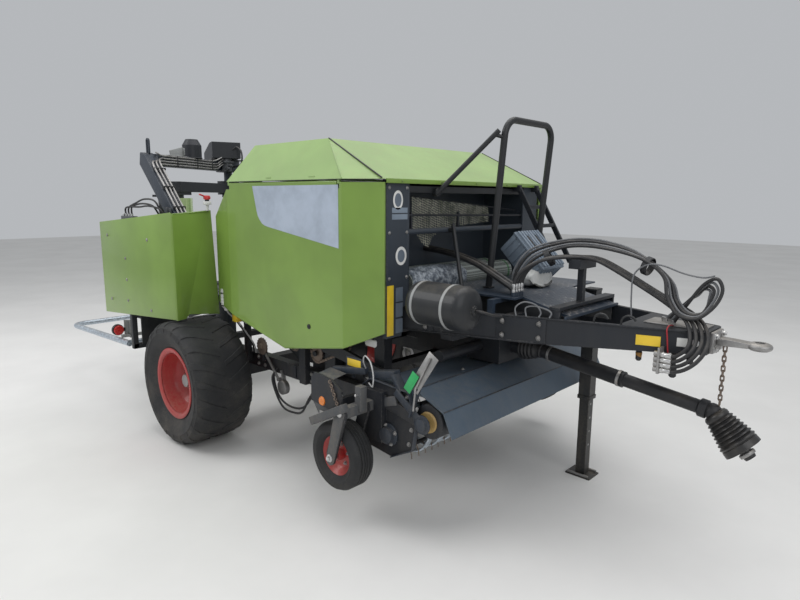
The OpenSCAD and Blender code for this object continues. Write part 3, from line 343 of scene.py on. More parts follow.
def ribbed_plate(name, colour):
    """Tread plate: raised bars in two directions, with dust between them."""
    s = Shade(name)
    u, v = (s.x + s.y) * 105.0, (s.x - s.y) * 105.0
    first = (u.wave() * (v * 0.35).wave()).step(0.55, 0.8)
    second = (v.wave() * (u * 0.35).wave()).step(0.55, 0.8)
    bars = first.high(second) * s.up.step(0.3, 0.8)
    cloud = s.noise(3.5, 6.0, 0.65)
    fine = s.noise(60.0, 5.0, 0.7)
    worn = bars * cloud.step(0.42, 0.62) * 0.55
    dust = (cloud * 0.5 + fine * 0.5).step(0.46, 0.72) * s.up.step(0.3, 0.9) * 0.35
    base = s.mix(dust * (1.0 - bars * 0.7), s.mix(worn, s.tint(colour, 0.18, cloud), STEEL), DUST)
    return s.finish(base, 0.42 + 0.2 * dust, bars + fine * 0.1, 0.0018, 0.1)


green_paint = painted("green_paint", (0.180, 0.300, 0.048), 0.22, 0.35, 0.3, 0.35)
# painted sunlight: the roof's paint is a lighter copy of the green paint, standing for the sun on the roof
sunlit_roof_paint = painted("sunlit_roof_paint", (0.28, 0.43, 0.14), 0.3, 0.3, 0.38, 0.3)
dark_paint = painted("dark_paint", (0.009, 0.012, 0.018), 0.12, 0.4, 0.44, 0.06)
slate_paint = painted("slate_paint", (0.016, 0.025, 0.040), 0.14, 0.4, 0.4, 0.12)
black_paint = painted("black_paint", (0.006, 0.008, 0.011), 0.16, 0.4, 0.4, 0.15)
red_paint = painted("red_paint", (0.38, 0.018, 0.020), 0.2, 0.4, 0.36, 0.3)
pillar_paint = painted("pillar_paint", (0.028, 0.038, 0.052), 0.15, 0.35, 0.42, 0.1)
worn_steel = bare("worn_steel", (0.34, 0.335, 0.33), 0.4, 0.35)
bright_steel = bare("bright_steel", (0.55, 0.55, 0.55), 0.22, 0.1, 0.95)
rusty_steel = bare("rusty_steel", (0.24, 0.19, 0.155), 0.62, 0.85, 0.6)
zinc_coat = zinc("zinc_coat")
tyre_rubber = rubber_tyre("tyre_rubber")
small_tyre_rubber = rubber_tyre("small_tyre_rubber", (0.013, 0.014, 0.016), 0.2, 0.6)
flap_rubber = rubber_tyre("flap_rubber", (0.013, 0.015, 0.018), 0.3, 1.4)
black_plastic = plastic("black_plastic", (0.012, 0.013, 0.016), 0.46, 0.0004, 0.15)
cone_plastic = plastic("cone_plastic", (0.014, 0.014, 0.015), 0.36, 0.0003, 0.3, 0.15)
grey_plastic = plastic("grey_plastic", (0.18, 0.225, 0.28), 0.5, 0.0006, 0.2)
yellow_sheet = plastic("yellow_sheet", (0.80, 0.55, 0.03), 0.4, 0.0001, 0.2, 0.2)
white_sheet = plastic("white_sheet", (0.72, 0.72, 0.70), 0.42, 0.0001, 0.25, 0.2)
red_plastic = plastic("red_plastic", (0.55, 0.02, 0.02), 0.4, 0.0002, 0.25, 0.2)
green_plastic = plastic("green_plastic", (0.02, 0.36, 0.10), 0.4, 0.0002, 0.15, 0.2)
hose_cover = hose_rubber("hose_cover")
film_roll = wound_film("film_roll")
net_roll = wound_net("net_roll")
red_lens = lens("red_lens", (0.55, 0.015, 0.01))
orange_lens = lens("orange_lens", (0.85, 0.22, 0.01))
table_belt = belt("table_belt")
field_sheet = plastic("field_sheet", (0.38, 0.44, 0.53), 0.36, 0.0001, 0.12, 0.25)
pillar_pale = plastic("pillar_pale", (0.12, 0.15, 0.19), 0.46, 0.0001, 0.15, 0.1)
pale_board = painted("pale_board", (0.30, 0.31, 0.31), 0.35, 0.4, 0.45, 0.1)
grey_paint = painted("grey_paint", (0.060, 0.066, 0.075), 0.3, 0.5, 0.5, 0.1)
hung_net = open_net("hung_net")
crumpled_film = creased_film("crumpled_film")
tread_plate = ribbed_plate("tread_plate", (0.024, 0.036, 0.056))
straw = hose_rubber("straw", (0.42, 0.28, 0.10))
white_cable = hose_rubber("white_cable", (0.50, 0.50, 0.50))
grey_hose = hose_rubber("grey_hose", (0.15, 0.155, 0.165))
red_cord = hose_rubber("red_cord", (0.42, 0.02, 0.03))
# painted light: the hood's paint is a lighter copy of the slate paint, standing for the light on its up-facing facets
lit_hood_paint = painted("lit_hood_paint", (0.062, 0.092, 0.128), 0.12, 0.3, 0.4, 0.15)
amber_plastic = plastic("amber_plastic", (0.34, 0.16, 0.02), 0.4, 0.0003, 0.3, 0.2)
pale_bag = plastic("pale_bag", (0.52, 0.53, 0.52), 0.55, 0.002, 0.3)

# the part's own nodes, by finish
NODE_FINISH = ((dark_paint,
    "frame axle chamber_front tailgate drawbar gearbox ladder hose_support pickup_frame press_roller boom_cover"),
    (dark_paint, "wrap_rotor wrap_table"), (black_paint, "jack_tube jack_leg hoop_rail air_tank"),
    (slate_paint, "wrap_boom"), (green_paint, "door_right door_left guard_right guard_left"), (sunlit_roof_paint, "roof"),
    (pillar_paint, "front_frame"), (red_paint, "rim_right rim_left guide_rim_right guide_rim_left"),
    (tyre_rubber, "tyre_right tyre_left"), (small_tyre_rubber, "guide_tyre_right guide_tyre_left"),
    (flap_rubber, "mudguards"), (tread_plate, "deck"),
    (worn_steel, "hitch_eye pickup_reel table_roller_front table_roller_rear plug_holder"),
    (rusty_steel, "support_chain"), (zinc_coat, "rear_guard"), (black_plastic, "pto_shaft"), (cone_plastic, "pto_cone"),
    (grey_plastic, "ribbed_box"), (lit_hood_paint, "pickup_hood"), (net_roll, "net_rolls"), (film_roll, "film_rolls"),
    (red_lens, "lamps"), (hose_cover, "hose_1 hose_2 hose_3 hose_4"))
for finish, node_names in NODE_FINISH:
    for node_name in node_names.split():
        node_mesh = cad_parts[node_name].data
        node_mesh.materials.clear()
        node_mesh.materials.append(finish)


# ---------------------------------------------------------------- modelling helpers
# edges sharper than this are rounded, and points closer than this are made one
SHARP_DEGREES, SAME_PLACE = 35, 0.00002


def clear_selection():
    """Leaves edit mode and selects nothing."""
    if bpy.context.object is not None and bpy.context.object.mode != "OBJECT":
        bpy.ops.object.mode_set(mode="OBJECT")
    bpy.ops.object.select_all(action="DESELECT")


def pick(piece):
    """Makes the piece the only one selected."""
    clear_selection()
    piece.select_set(True)
    bpy.context.view_layer.objects.active = piece


def settle(piece):
    """Puts the piece's place, turn and size into its mesh."""
    pick(piece)
    bpy.ops.object.transform_apply(location=True, rotation=True, scale=True)
    return piece


def soften(piece, width, segments=2):
    """Rounds the sharp edges with a bevel."""
    if width > 0:
        bevel = piece.modifiers.new("round", "BEVEL")
        bevel.width, bevel.segments, bevel.limit_method = width, segments, "ANGLE"
        bevel.angle_limit = radians(SHARP_DEGREES)
        bpy.context.view_layer.objects.active = piece
        bpy.ops.object.modifier_apply(modifier="round")
    return piece


def block(low, high, edge=0.003, segments=2):
    """Box between two opposite corners."""
    low, high = Vector(low), Vector(high)
    clear_selection()
    bpy.ops.mesh.primitive_cube_add(size=1, location=(low + high) / 2)
    piece = bpy.context.object
    piece.scale = high - low
    return soften(settle(piece), edge, segments)


def rod(p, q, r, sides=20, edge=0.0, r_end=None):
    """Round bar between two points, tapered when r_end is given."""
    p, q = Vector(p), Vector(q)
    clear_selection()
    bpy.ops.mesh.primitive_cone_add(vertices=sides, radius1=r, radius2=r if r_end is None else r_end,
        depth=(q - p).length, location=(p + q) / 2)
    piece = bpy.context.object
    piece.rotation_mode = "QUATERNION"
    piece.rotation_quaternion = (q - p).to_track_quat("Z", "Y")
    return soften(settle(piece), edge)


def reshaped(piece, change):
    """Runs a change on the whole mesh in edit mode, then turns the faces outward."""
    bpy.ops.object.mode_set(mode="EDIT")
    bpy.ops.mesh.select_all(action="SELECT")
    change()
    bpy.ops.mesh.select_all(action="SELECT")
    bpy.ops.mesh.normals_make_consistent(inside=False)
    bpy.ops.object.mode_set(mode="OBJECT")
    return settle(piece)


def plate(outline, axis, start, end, edge=0.002):
    """Flat outline made thick along an axis; the outline gives the two other coordinates in X, Y, Z order."""
    clear_selection()
    bpy.ops.mesh.primitive_circle_add(vertices=len(outline), fill_type="NGON")
    piece = bpy.context.object
    for vertex, (a, b) in zip(piece.data.vertices, outline):
        vertex.co = {"X": (start, a, b), "Y": (a, start, b), "Z": (a, b, start)}[axis]
    along = {"X": (end - start, 0, 0), "Y": (0, end - start, 0), "Z": (0, 0, end - start)}[axis]
    reshaped(piece, lambda: bpy.ops.mesh.extrude_region_move(TRANSFORM_OT_translate={"value": along}))
    return soften(piece, edge)


def skin(rings, closed=False):
    """A grid pulled into the shape that runs through rings of points; each ring is a closed loop."""
    count, length = len(rings[0]), len(rings)
    clear_selection()
    bpy.ops.mesh.primitive_grid_add(x_subdivisions=count, y_subdivisions=length if closed else length - 1)
    piece = bpy.context.object
    for row in range(length + 1 if closed else length):
        for column in range(count + 1):
            piece.data.vertices[row * (count + 1) + column].co = rings[row % length][column % count]
    def sewn():
        bpy.ops.mesh.remove_doubles(threshold=SAME_PLACE)
        if not closed:
            bpy.ops.mesh.fill_holes(sides=0)
    return reshaped(piece, sewn)


def frame_of(direction):
    """A direction, and two others square to it."""
    along = Vector(direction).normalized()
    side = along.cross(Z if abs(along.z) < 0.9 else X).normalized()
    return along, side, along.cross(side)


def around(count, start=0.0):
    """Angles in equal steps round a circle."""
    return [2 * pi * (k + start) / count for k in range(count)]


def spoke(a, r):
    """A way of length r from an axis along Y, a being counted from X to Z."""
    return Vector((cos(a) * r, 0, sin(a) * r))


def turned(profile, centre, direction, steps):
    """A profile of (radius, place along) turned about an axis."""
    along, side, other = frame_of(direction)
    centre = Vector(centre)
    rings = []
    for a in around(steps):
        out = cos(a) * side + sin(a) * other
        rings.append([centre + along * z + out * r for r, z in profile])
    return skin(rings, closed=True)


def mirrored(profile):
    """A profile and its mirror image; a point in the middle isn't repeated."""
    return profile + [(a, -b) for a, b in reversed(profile) if b != 0]


def smooth_path(points, steps):
    """Points on one smooth curve through the given ones."""
    p = [Vector(q) for q in points]
    n = len(p)
    result = []
    for i in range(n - 1):
        a, b, c, d = (p[min(max(i + k, 0), n - 1)] for k in (-1, 0, 1, 2))
        for k in range(steps):
            t = k / steps
            result.append(0.5 * (2 * b + (c - a) * t + (2 * a - 5 * b + 4 * c - d) * t * t + (3 * b - a - 3 * c + d) *
                t ** 3))
    return result + [p[-1]]


def heading(path, i):
    """Direction of a path at one of its points."""
    return (path[min(i + 1, len(path) - 1)] - path[max(i - 1, 0)]).normalized()


def tube(points, r, sides=10, steps=6, smooth=True):
    """Bent round tube through the points."""
    path = smooth_path(points, steps) if smooth else [Vector(q) for q in points]
    along, side, other = frame_of(path[1] - path[0])
    rings = []
    for i, point in enumerate(path):
        ahead = heading(path, i)
        side = (side - ahead * side.dot(ahead)).normalized()
        other = ahead.cross(side)
        rings.append([point + r * (cos(a) * side + sin(a) * other) for a in around(sides)])
    return skin(rings)


def nut(place, direction, across, height):
    """Hexagon head on a washer, with a stub of thread."""
    place, along = Vector(place), Vector(direction).normalized()
    parts = [rod(place, place + along * 0.003, across * 0.75, 16),
        rod(place + along * 0.002, place + along * height, across * 0.577, 6, 0.001),
        rod(place + along * height * 0.9, place + along * height * 1.4, across * 0.3, 10)]
    return joined(parts)


def nuts_at(places, direction, across, height):
    """Equal nuts at several places."""
    first = nut(places[0], direction, across, height)
    return [first] + [copied(first, Matrix.Translation(Vector(p) - Vector(places[0]))) for p in places[1:]]


def bar(p, q, wide, deep, edge=0.002, upright=Z):
    """Square-edged bar between two points; deep is measured towards upright."""
    p, q = Vector(p), Vector(q)
    along = (q - p).normalized()
    side = Vector(upright).cross(along).normalized()
    other = along.cross(side)
    clear_selection()
    bpy.ops.mesh.primitive_cube_add(size=1)
    piece = bpy.context.object
    middle = (p + q) / 2
    scale = Matrix.Diagonal(((q - p).length, wide, deep, 1))
    turn = Matrix(((along.x, side.x, other.x, middle.x), (along.y, side.y, other.y, middle.y),
        (along.z, side.z, other.z, middle.z), (0, 0, 0, 1)))
    piece.data.transform(turn @ scale)
    return soften(piece, edge)


def sheet_panel(corners, faces, thickness):
    """Folded sheet: flat faces that share corners, given a thickness inwards."""
    clear_selection()
    bpy.ops.mesh.primitive_circle_add(vertices=len(corners), fill_type="NOTHING")
    piece = bpy.context.object
    mesh = piece.data
    mesh.clear_geometry()
    mesh.from_pydata([Vector(c) for c in corners], [], faces)
    wall = piece.modifiers.new("wall", "SOLIDIFY")
    wall.thickness, wall.offset, wall.use_even_offset = thickness, -1, True
    bpy.ops.object.modifier_apply(modifier="wall")
    return soften(piece, 0.0015)


TOOTH = 0.009


def sprocket(centre, r, wide, direction, teeth):
    """Chain wheel: toothed rim, dished web and hub."""
    along, side, other = frame_of(direction)
    centre = Vector(centre)
    rings = []
    for z in (-wide / 2, wide / 2):
        ring = []
        for k in range(teeth * 2):
            a = pi * k / teeth
            out = r if k % 2 else r - TOOTH
            ring.append(centre + along * z + (cos(a) * side + sin(a) * other) * out)
        rings.append(ring)
    hub = turned(mirrored([(0.0, -wide * 1.8), (r * 0.3, -wide * 1.8), (r * 0.32, -wide * 1.6)]), centre, direction, 24)
    return [skin(rings), hub]


# the chain's way gets a point at least this often on a wheel
POINT_GAP = 0.02


def chain_run(wheels, y, pitch, wide):
    """Roller chain round chain wheels given as (x, z, radius), all turning the same way."""
    def leaving(wheel, following):
        (x0, z0, r0), (x1, z1, r1) = wheel, following
        lean = acos(max(-1.0, min(1.0, (r0 - r1) / hypot(x1 - x0, z1 - z0))))
        return atan2(z1 - z0, x1 - x0) - lean
    path = []
    for before, wheel, following in zip(wheels[-1:] + wheels, wheels, wheels[1:] + wheels[:1]):
        x, z, r = wheel
        start, end = leaving(before, wheel), leaving(wheel, following)
        while end < start:
            end += 2 * pi
        steps = max(2, int((end - start) * r / POINT_GAP))
        for k in range(steps + 1):
            a = start + (end - start) * k / steps
            path.append(at(x + cos(a) * r, y, z + sin(a) * r))
    path.append(path[0])
    total = path_length(path)
    count = int(total / pitch)
    lengths = [(b - a).length for a, b in zip(path, path[1:])]
    walked, segment = 0.0, 0
    places = []
    for k in range(count):
        target = k * total / count
        while walked + lengths[segment] < target:
            walked += lengths[segment]
            segment += 1
        a, b = path[segment], path[segment + 1]
        ahead = (b - a).normalized()
        turn = Matrix.Rotation(-atan2(ahead.z, ahead.x), 4, "Y")
        places.append(Matrix.Translation(a.lerp(b, (target - walked) / lengths[segment])) @ turn)
    link = block((-pitch * 0.46, -wide / 2, -0.010), (pitch * 0.46, wide / 2, 0.010), 0.004, 1)
    return row_of(link, places)


def joined(parts):
    """One object out of several."""
    clear_selection()
    for part in parts:
        part.select_set(True)
    bpy.context.view_layer.objects.active = parts[0]
    if len(parts) > 1:
        bpy.ops.object.join()
    return bpy.context.view_layer.objects.active


def copied(piece, matrix):
    """A second piece with its own mesh, moved by a matrix."""
    pick(piece)
    bpy.ops.object.duplicate(linked=False)
    twin = bpy.context.object
    twin.data.transform(matrix)
    return twin


def row_of(first, matrices):
    """Copies of a piece, one for each matrix; the piece itself is taken away."""
    copies = [copied(first, matrix) for matrix in matrices]
    bpy.data.objects.remove(first)
    return copies


def round_axis(angle, centre, axis):
    """Matrix of a turn about an axis through a point."""
    centre = Vector(centre)
    return Matrix.Translation(centre) @ Matrix.Rotation(angle, 4, Vector(axis)) @ Matrix.Translation(-centre)


def finished(parts, name, finish, body="machine", smooth=32, node=None):
    """Joins the parts into the named piece that rides on its body, and that may replace a node."""
    piece = joined(parts)
    piece.name = piece.data.name = name
    piece.data.materials.clear()
    piece.data.materials.append(finish)
    pick(piece)
    bpy.ops.object.shade_smooth_by_angle(angle=radians(smooth))
    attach(piece, body)
    if node is not None:
        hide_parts(node)
    return piece


def bolts(name, places, direction, across, height, finish=worn_steel, body="machine"):
    """A piece of equal nuts or bolt heads."""
    finished(nuts_at(places, direction, across, height), name, finish, body)


# ---------------------------------------------------------------- hoses to the tractor
HOSE_R = 0.011
HOSE_MAIN = [(2700, -290, 1530), (2700, -290, 1565), (2708, -284, 1612), (2728, -268, 1662), (2762, -240, 1706),
    (2810, -198, 1740), (2868, -142, 1756), (2930, -82, 1761), (2990, -46, 1760), (3055, -28, 1760), (3130, -14, 1744),
    (3220, -6, 1704), (3320, -2, 1654), (3420, 0, 1602), (3520, -4, 1554), (3616, -18, 1512), (3704, -56, 1478),
    (3776, -114, 1436), (3818, -176, 1376), (3820, -226, 1312), (3788, -252, 1250), (3732, -256, 1200),
    (3668, -242, 1172), (3604, -242, 1172)]
HOSE_STEP = [(0, -30, 0), (0, -30, 0), (0, -30, 0), (2, -30, 0), (6, -29, 0), (10, -28, 0), (13, -27, 0), (10, -28, 0),
    (4, -29, 0), (0, -30, 0), (0, -30, 0), (0, -30, 0), (0, -30, 0), (0, -30, 0), (-3, -29, 0), (-10, -27, 0),
    (-18, -22, 0), (-25, -15, 0), (-29, -7, 0), (-28, -1, 7), (-22, 3, 18), (-12, 4, 26), (0, 0, 30), (0, 0, 30)]


def nth_way(first, step, k):
    """The way of hose k of a bundle, from the first hose's way and what each next one adds, in millimetres."""
    return [at(*((a + k * b) / 1000 for a, b in zip(p, d))) for p, d in zip(first, step)]


def path_length(path):
    """Length of the way through the points."""
    return sum((b - a).length for a, b in zip(path, path[1:]))


def ferrule(place, direction):
    """Crimped steel sleeve and union nut on a hose end; direction points along the hose."""
    place, along = Vector(place), Vector(direction).normalized()
    return [rod(place + along * 0.012, place + along * 0.05, HOSE_R * 1.28, 16, 0.0012),
        rod(place + along * 0.048, place + along * 0.054, HOSE_R * 1.18, 16),
        rod(place - along * 0.001, place + along * 0.014, HOSE_R * 1.6, 6, 0.0012)]


for k in range(4):
    route = nth_way(HOSE_MAIN, HOSE_STEP, k)
    path = smooth_path(route, 4)
    hose = finished([tube(path, HOSE_R, 12, smooth=False)], f"feed_hose_{k + 1}", hose_cover, node=f"hose_{k + 1}")
    round(path_length(path), 3)
    finished(ferrule(route[0], Z) + ferrule(route[-1], X), f"hose_fitting_{k + 1}", bright_steel)


# ---------------------------------------------------------------- wheels
def tyre_carcass(centre, r, w, bead_r, bead_w):
    """Tyre without its tread: bead, bulged wall with moulded rings, and rounded shoulder."""
    half, wall = w / 2, r - bead_r
    side = [(bead_r, bead_w / 2), (bead_r + 0.10 * wall, bead_w / 2 + 0.002),
        (bead_r + 0.17 * wall, bead_w / 2 + 0.014), (bead_r + 0.30 * wall, half - 0.026),
        (bead_r + 0.45 * wall, half - 0.010)]
    for share in (0.62, 0.78):
        at_r = bead_r + share * wall
        out = half - 0.004 - 0.03 * max(0.0, share - 0.6)
        side += [(at_r - 0.006, out), (at_r - 0.003, out + 0.003), (at_r + 0.003, out + 0.003),
            (at_r + 0.006, out - 0.001)]
    side += [(bead_r + 0.88 * wall, half - 0.030), (bead_r + 0.945 * wall, half - 0.060),
        (bead_r + 0.97 * wall, half - 0.11), (bead_r + 0.975 * wall, 0.0)]
    return turned(mirrored(side), centre, Y, 72)


def tread_lug(centre, side, stations):
    """One lug over the shoulder; a station is its place across, radius, half width, lean, height and way ahead."""
    centre = Vector(centre)
    rings = []
    for across, r, half, lean, tall, ahead in stations:
        angle = radians(ahead)
        radial = spoke(angle, 1)
        along = Vector((-sin(angle), 0, cos(angle)))
        outward = radial * cos(radians(lean)) + side * Y * sin(radians(lean))
        top = centre + radial * r + (side * across) * Y
        foot = top - outward * tall
        rings.append([foot - along * half * 1.35, top - along * half, top + along * half, foot + along * half * 1.35])
    return skin(rings)


MAIN_LUG = [(0.012, 0.5395, 0.017, 0, 0.030, 0.0), (0.08, 0.5395, 0.019, 0, 0.030, 3.2),
    (0.155, 0.538, 0.022, 4, 0.030, 7.5), (0.212, 0.530, 0.026, 22, 0.032, 10.5),
    (0.243, 0.508, 0.028, 52, 0.032, 12.0), (0.2565, 0.474, 0.027, 80, 0.022, 12.8),
    (0.2575, 0.440, 0.024, 88, 0.010, 13.2)]


WHEEL_Y, WHEEL_R, TYRE_WIDE, BEAD_R, BEAD_WIDE, LUG_COUNT = 1.21, 0.54, 0.52, 0.287, 0.40, 21


def main_wheel(side, word):
    """Large wheel: tyre with its lugs, deep-dished rim, hub cap and valve."""
    body = f"wheel_{word}"
    centre = at(0, side * WHEEL_Y, WHEEL_R)
    parts = [tyre_carcass(centre, WHEEL_R, TYRE_WIDE, BEAD_R, BEAD_WIDE)]
    for s in (-1, 1):
        turns = around(LUG_COUNT, 0.5 if s > 0 else 0.0)
        parts += row_of(tread_lug(centre, s, MAIN_LUG), [round_axis(-turn, centre, Y) for turn in turns])
    finished(parts, f"main_tyre_{word}", tyre_rubber, body, smooth=40, node=f"tyre_{word}")
    # deep dish: rolled flange, barrel, disc with its ring of nuts and the hub
    outward = side * Y
    dish = [(0.0455, -0.10), (0.085, -0.10), (0.092, -0.09), (0.092, -0.025), (0.20, -0.02), (0.235, 0.025),
        (0.248, 0.045), *mirrored([(0.256, -0.17), (0.262, -0.192), (0.285, -0.2035), (0.306, -0.205),
        (0.3095, -0.2085), (0.3095, -0.2125), (0.30, -0.2165), (0.276, -0.2115), (0.262, -0.199), (0.2835, -0.1995),
        (0.2845, -0.15), (0.27, -0.13)]), (0.252, 0.075), (0.238, 0.058), (0.205, 0.004), (0.15, -0.004), (0.097, 0.0),
        (0.097, 0.055), (0.088, 0.06), (0.0455, 0.06)]
    finished([turned(dish, centre, outward, 72)], f"main_rim_{word}", red_paint, body, smooth=38, node=f"rim_{word}")
    nuts = [nut(centre + outward * -0.002 + spoke(a, 0.1675), outward, 0.034, 0.022) for a in around(10)]
    cap = turned([(0.0, 0.058), (0.05, 0.058), (0.058, 0.064), (0.06, 0.095), (0.054, 0.112), (0.03, 0.12),
        (0.0, 0.121)], centre, outward, 36)
    finished(nuts + [cap], f"hub_cap_{word}", worn_steel, body)
    valve = [rod(centre + outward * 0.16 + 0.235 * X, centre + outward * 0.2 + 0.262 * X, 0.005, 8)]
    finished(valve, f"valve_{word}", black_plastic, body)


both_sides(main_wheel)


GUIDE_X, GUIDE_Y, GUIDE_Z = 1.98, 1.225, 0.47


def guide_wheel(side, word):
    """Small grooved wheel beside the pick-up."""
    body = f"guide_{word}"
    centre = at(GUIDE_X, side * GUIDE_Y, GUIDE_Z)
    outward = side * Y
    profile = [(0.131, 0.055), (0.138, 0.062), (0.15, 0.073), (0.166, 0.0785), (0.17, 0.0815), (0.176, 0.0815),
        (0.18, 0.079), (0.205, 0.0815), (0.218, 0.073), (0.2255, 0.058), (0.2295, 0.05), (0.2295, 0.039),
        (0.2225, 0.037), (0.2225, 0.032), (0.2295, 0.030), (0.2295, 0.014), (0.2225, 0.012), (0.2225, 0.007),
        (0.2295, 0.005)]
    finished([turned(mirrored(profile), centre, Y, 64)], f"small_tyre_{word}", small_tyre_rubber, body, smooth=40,
        node=f"guide_tyre_{word}")
    dish = [(0.0165, -0.055), (0.034, -0.055), (0.036, -0.012), (0.085, -0.006), (0.1, 0.006), (0.113, -0.04),
        (0.129, -0.052), *mirrored([(0.134, -0.057), (0.1305, -0.0495)]), (0.129, 0.052), (0.116, 0.042),
        (0.104, 0.022), (0.088, 0.006), (0.036, 0.004), (0.036, 0.05), (0.033, 0.055), (0.0165, 0.055)]
    finished([turned(dish, centre, outward, 56)], f"small_rim_{word}", red_paint, body, smooth=38,
        node=f"guide_rim_{word}")
    nuts = [nut(centre + outward * 0.004 + spoke(a + 0.3, 0.066), outward, 0.019, 0.012) for a in around(5)]
    finished(nuts, f"small_nuts_{word}", worn_steel, body)


both_sides(guide_wheel)


# ---------------------------------------------------------------- body
FIELD = [(0.822, 2.206), (1.818, 2.206), (1.818, 1.796), (1.02, 1.906), (0.972, 1.915), (0.938, 1.930), (0.908, 1.957),
    (0.886, 1.985), (0.874, 2.015)]


def door_details(side, word):
    """Blank field, latch, stiffeners and hem of a side door."""
    body = f"side_door_{word}"
    face = 1.1
    def out(x, z, d):
        return at(x, side * (face + d), z)
    finished([plate(side_view(FIELD), "Y", side * (face - 0.0004), side * (face + 0.0012), 0.0)], f"door_field_{word}",
        field_sheet, body)
    lock = [rod(out(1.487, 1.224, -0.002), out(1.487, 1.224, 0.005), 0.018, 24, 0.002),
        rod(out(1.487, 1.224, 0.004), out(1.487, 1.224, 0.009), 0.008, 16, 0.002)]
    latch = [block(at(1.18, side * 1.04, 1.02), at(1.26, side * 1.072, 1.05), 0.004),
        rod(at(1.22, side * 1.05, 1.0), at(1.22, side * 1.05, 1.06), 0.009, 12)]
    finished(lock + latch, f"door_lock_{word}", black_plastic, body)
    # folded stiffeners on the inner face, and the hem along the lower edge
    ribs = [bar(at(x, side * 1.066, 1.24), at(x, side * 1.066, 2.13), 0.05, 0.018, 0.002, Y)
        for x in (0.62, 1.0, 1.4, 1.78)]
    ribs.append(bar(at(0.5, side * 1.06, 1.62), at(1.83, side * 1.06, 1.62), 0.02, 0.05))
    finished(ribs, f"door_ribs_{word}", dark_paint, body)
    hem = []
    for (x0, z0), (x1, z1) in (((0.46, 1.172), (1.185, 1.014)), ((1.195, 1.014), (1.84, 1.132))):
        hem.append(bar(at(x0, side * 1.094, z0 + 0.006), at(x1, side * 1.094, z1 + 0.006), 0.014, 0.012, 0.003))
    finished(hem, f"door_hem_{word}", green_paint, body)


def roof_trim():
    """Dark sealing strips along the roof's front folds; black strips under the roof's edge over the doors, a painted
    shadow line; beads in the roof's lighter paint along the side folds, a painted highlight.
    """
    strips, fold_highlights = [], []
    for s in (-1, 1):
        # painted shadow: the two black strips under the roof's edge stand for the dark gap over the doors and round the
        # front corner
        strips.append(bar(at(0.50, s * 1.103, 2.240), at(1.85, s * 1.103, 2.240), 0.004, 0.004, 0.001))
        strips.append(bar(at(1.85, s * 1.099, 2.240), at(2.09, s * 0.948, 2.240), 0.006, 0.004, 0.001))
        fold = Vector((0.36, s * 0.3, 0.88)) * 0.003
        strips.append(bar(at(1.488, s * 0.897, 2.529) + fold, at(2.072, s * 0.956, 2.249) + fold, 0.011, 0.006, 0.001,
            (0.3, 0, 1)))
        # painted highlight: a bead in the roof's lighter paint stands for the glint along the side fold
        fold_highlights.append(bar(at(1.488, s * 0.897, 2.531), at(1.848, s * 1.097, 2.248), 0.006, 0.004, 0.001))
    finished(strips, "roof_seals_and_shadow_lines", black_plastic)
    finished(fold_highlights, "roof_fold_highlights", sunlit_roof_paint)
    lip = [bar(at(2.094, -0.935, 2.232), at(2.094, 0.935, 2.232), 0.014, 0.03, 0.003)]
    for y in (-0.8, -0.4, 0.0, 0.4, 0.8):
        lip += [nut(at(2.10, y, 2.232), X, 0.012, 0.005)]
    finished(lip, "roof_lip", green_paint)


def front_signs():
    """Plain blank stickers and plates on the right pillar, where the real ones carry words."""
    face = 2.0695
    def sticker(outline, thick=0.0016):
        return plate(outline, "X", at(face, 0, 0).x, at(face + thick, 0, 0).x, 0.0)
    def disc(y, z, ry, rz, thick=0.0016):
        return sticker([(y + ry * cos(a), z + rz * sin(a)) for a in around(40)], thick)
    def label(y0, z0, y1, z1):
        return sticker([(y0, z0), (y1, z0), (y1, z1), (y0, z1)])
    finished([disc(-0.806, 2.111, 0.046, 0.062), disc(-0.774, 1.745, 0.052, 0.062)], "pillar_rounds", white_sheet)
    finished([disc(-0.806, 2.111, 0.031, 0.044, 0.0024), disc(-0.774, 1.745, 0.034, 0.042, 0.0024)],
        "pillar_ring_middles", pillar_pale)
    finished([label(-0.862, 1.985, -0.715, 2.02), label(-0.862, 2.028, -0.715, 2.062)], "pillar_labels", grey_plastic)
    finished([label(-0.905, 1.215, -0.843, 1.555)], "pillar_strip", yellow_sheet)
    finished([label(-0.822, 1.44, -0.755, 1.535), label(-0.822, 1.335, -0.755, 1.43),
        label(-0.822, 1.225, -0.755, 1.322)], "pillar_plates", pillar_pale)
    heads = [at(face, y, z) for y in (-0.885, -0.72) for z in (1.6, 1.9, 2.19)]
    bolts("pillar_bolts", heads, X, 0.016, 0.007)
    for s, word in SIDES:
        edge = [bar(at(2.034, s * 0.906, 1.22), at(2.034, s * 0.906, 2.22), 0.012, 0.07, 0.002, X),
            bar(at(2.062, s * 0.704, 1.45), at(2.062, s * 0.704, 2.2), 0.018, 0.018, 0.003, X)]
        finished(edge, f"pillar_edges_{word}", pillar_paint)


# the front net roll's axis
FRONT_ROLL = (1.652 + 0.016 + 0.088 + 0.010 + 0.182, 1.44 + 0.0013 + 0.088)


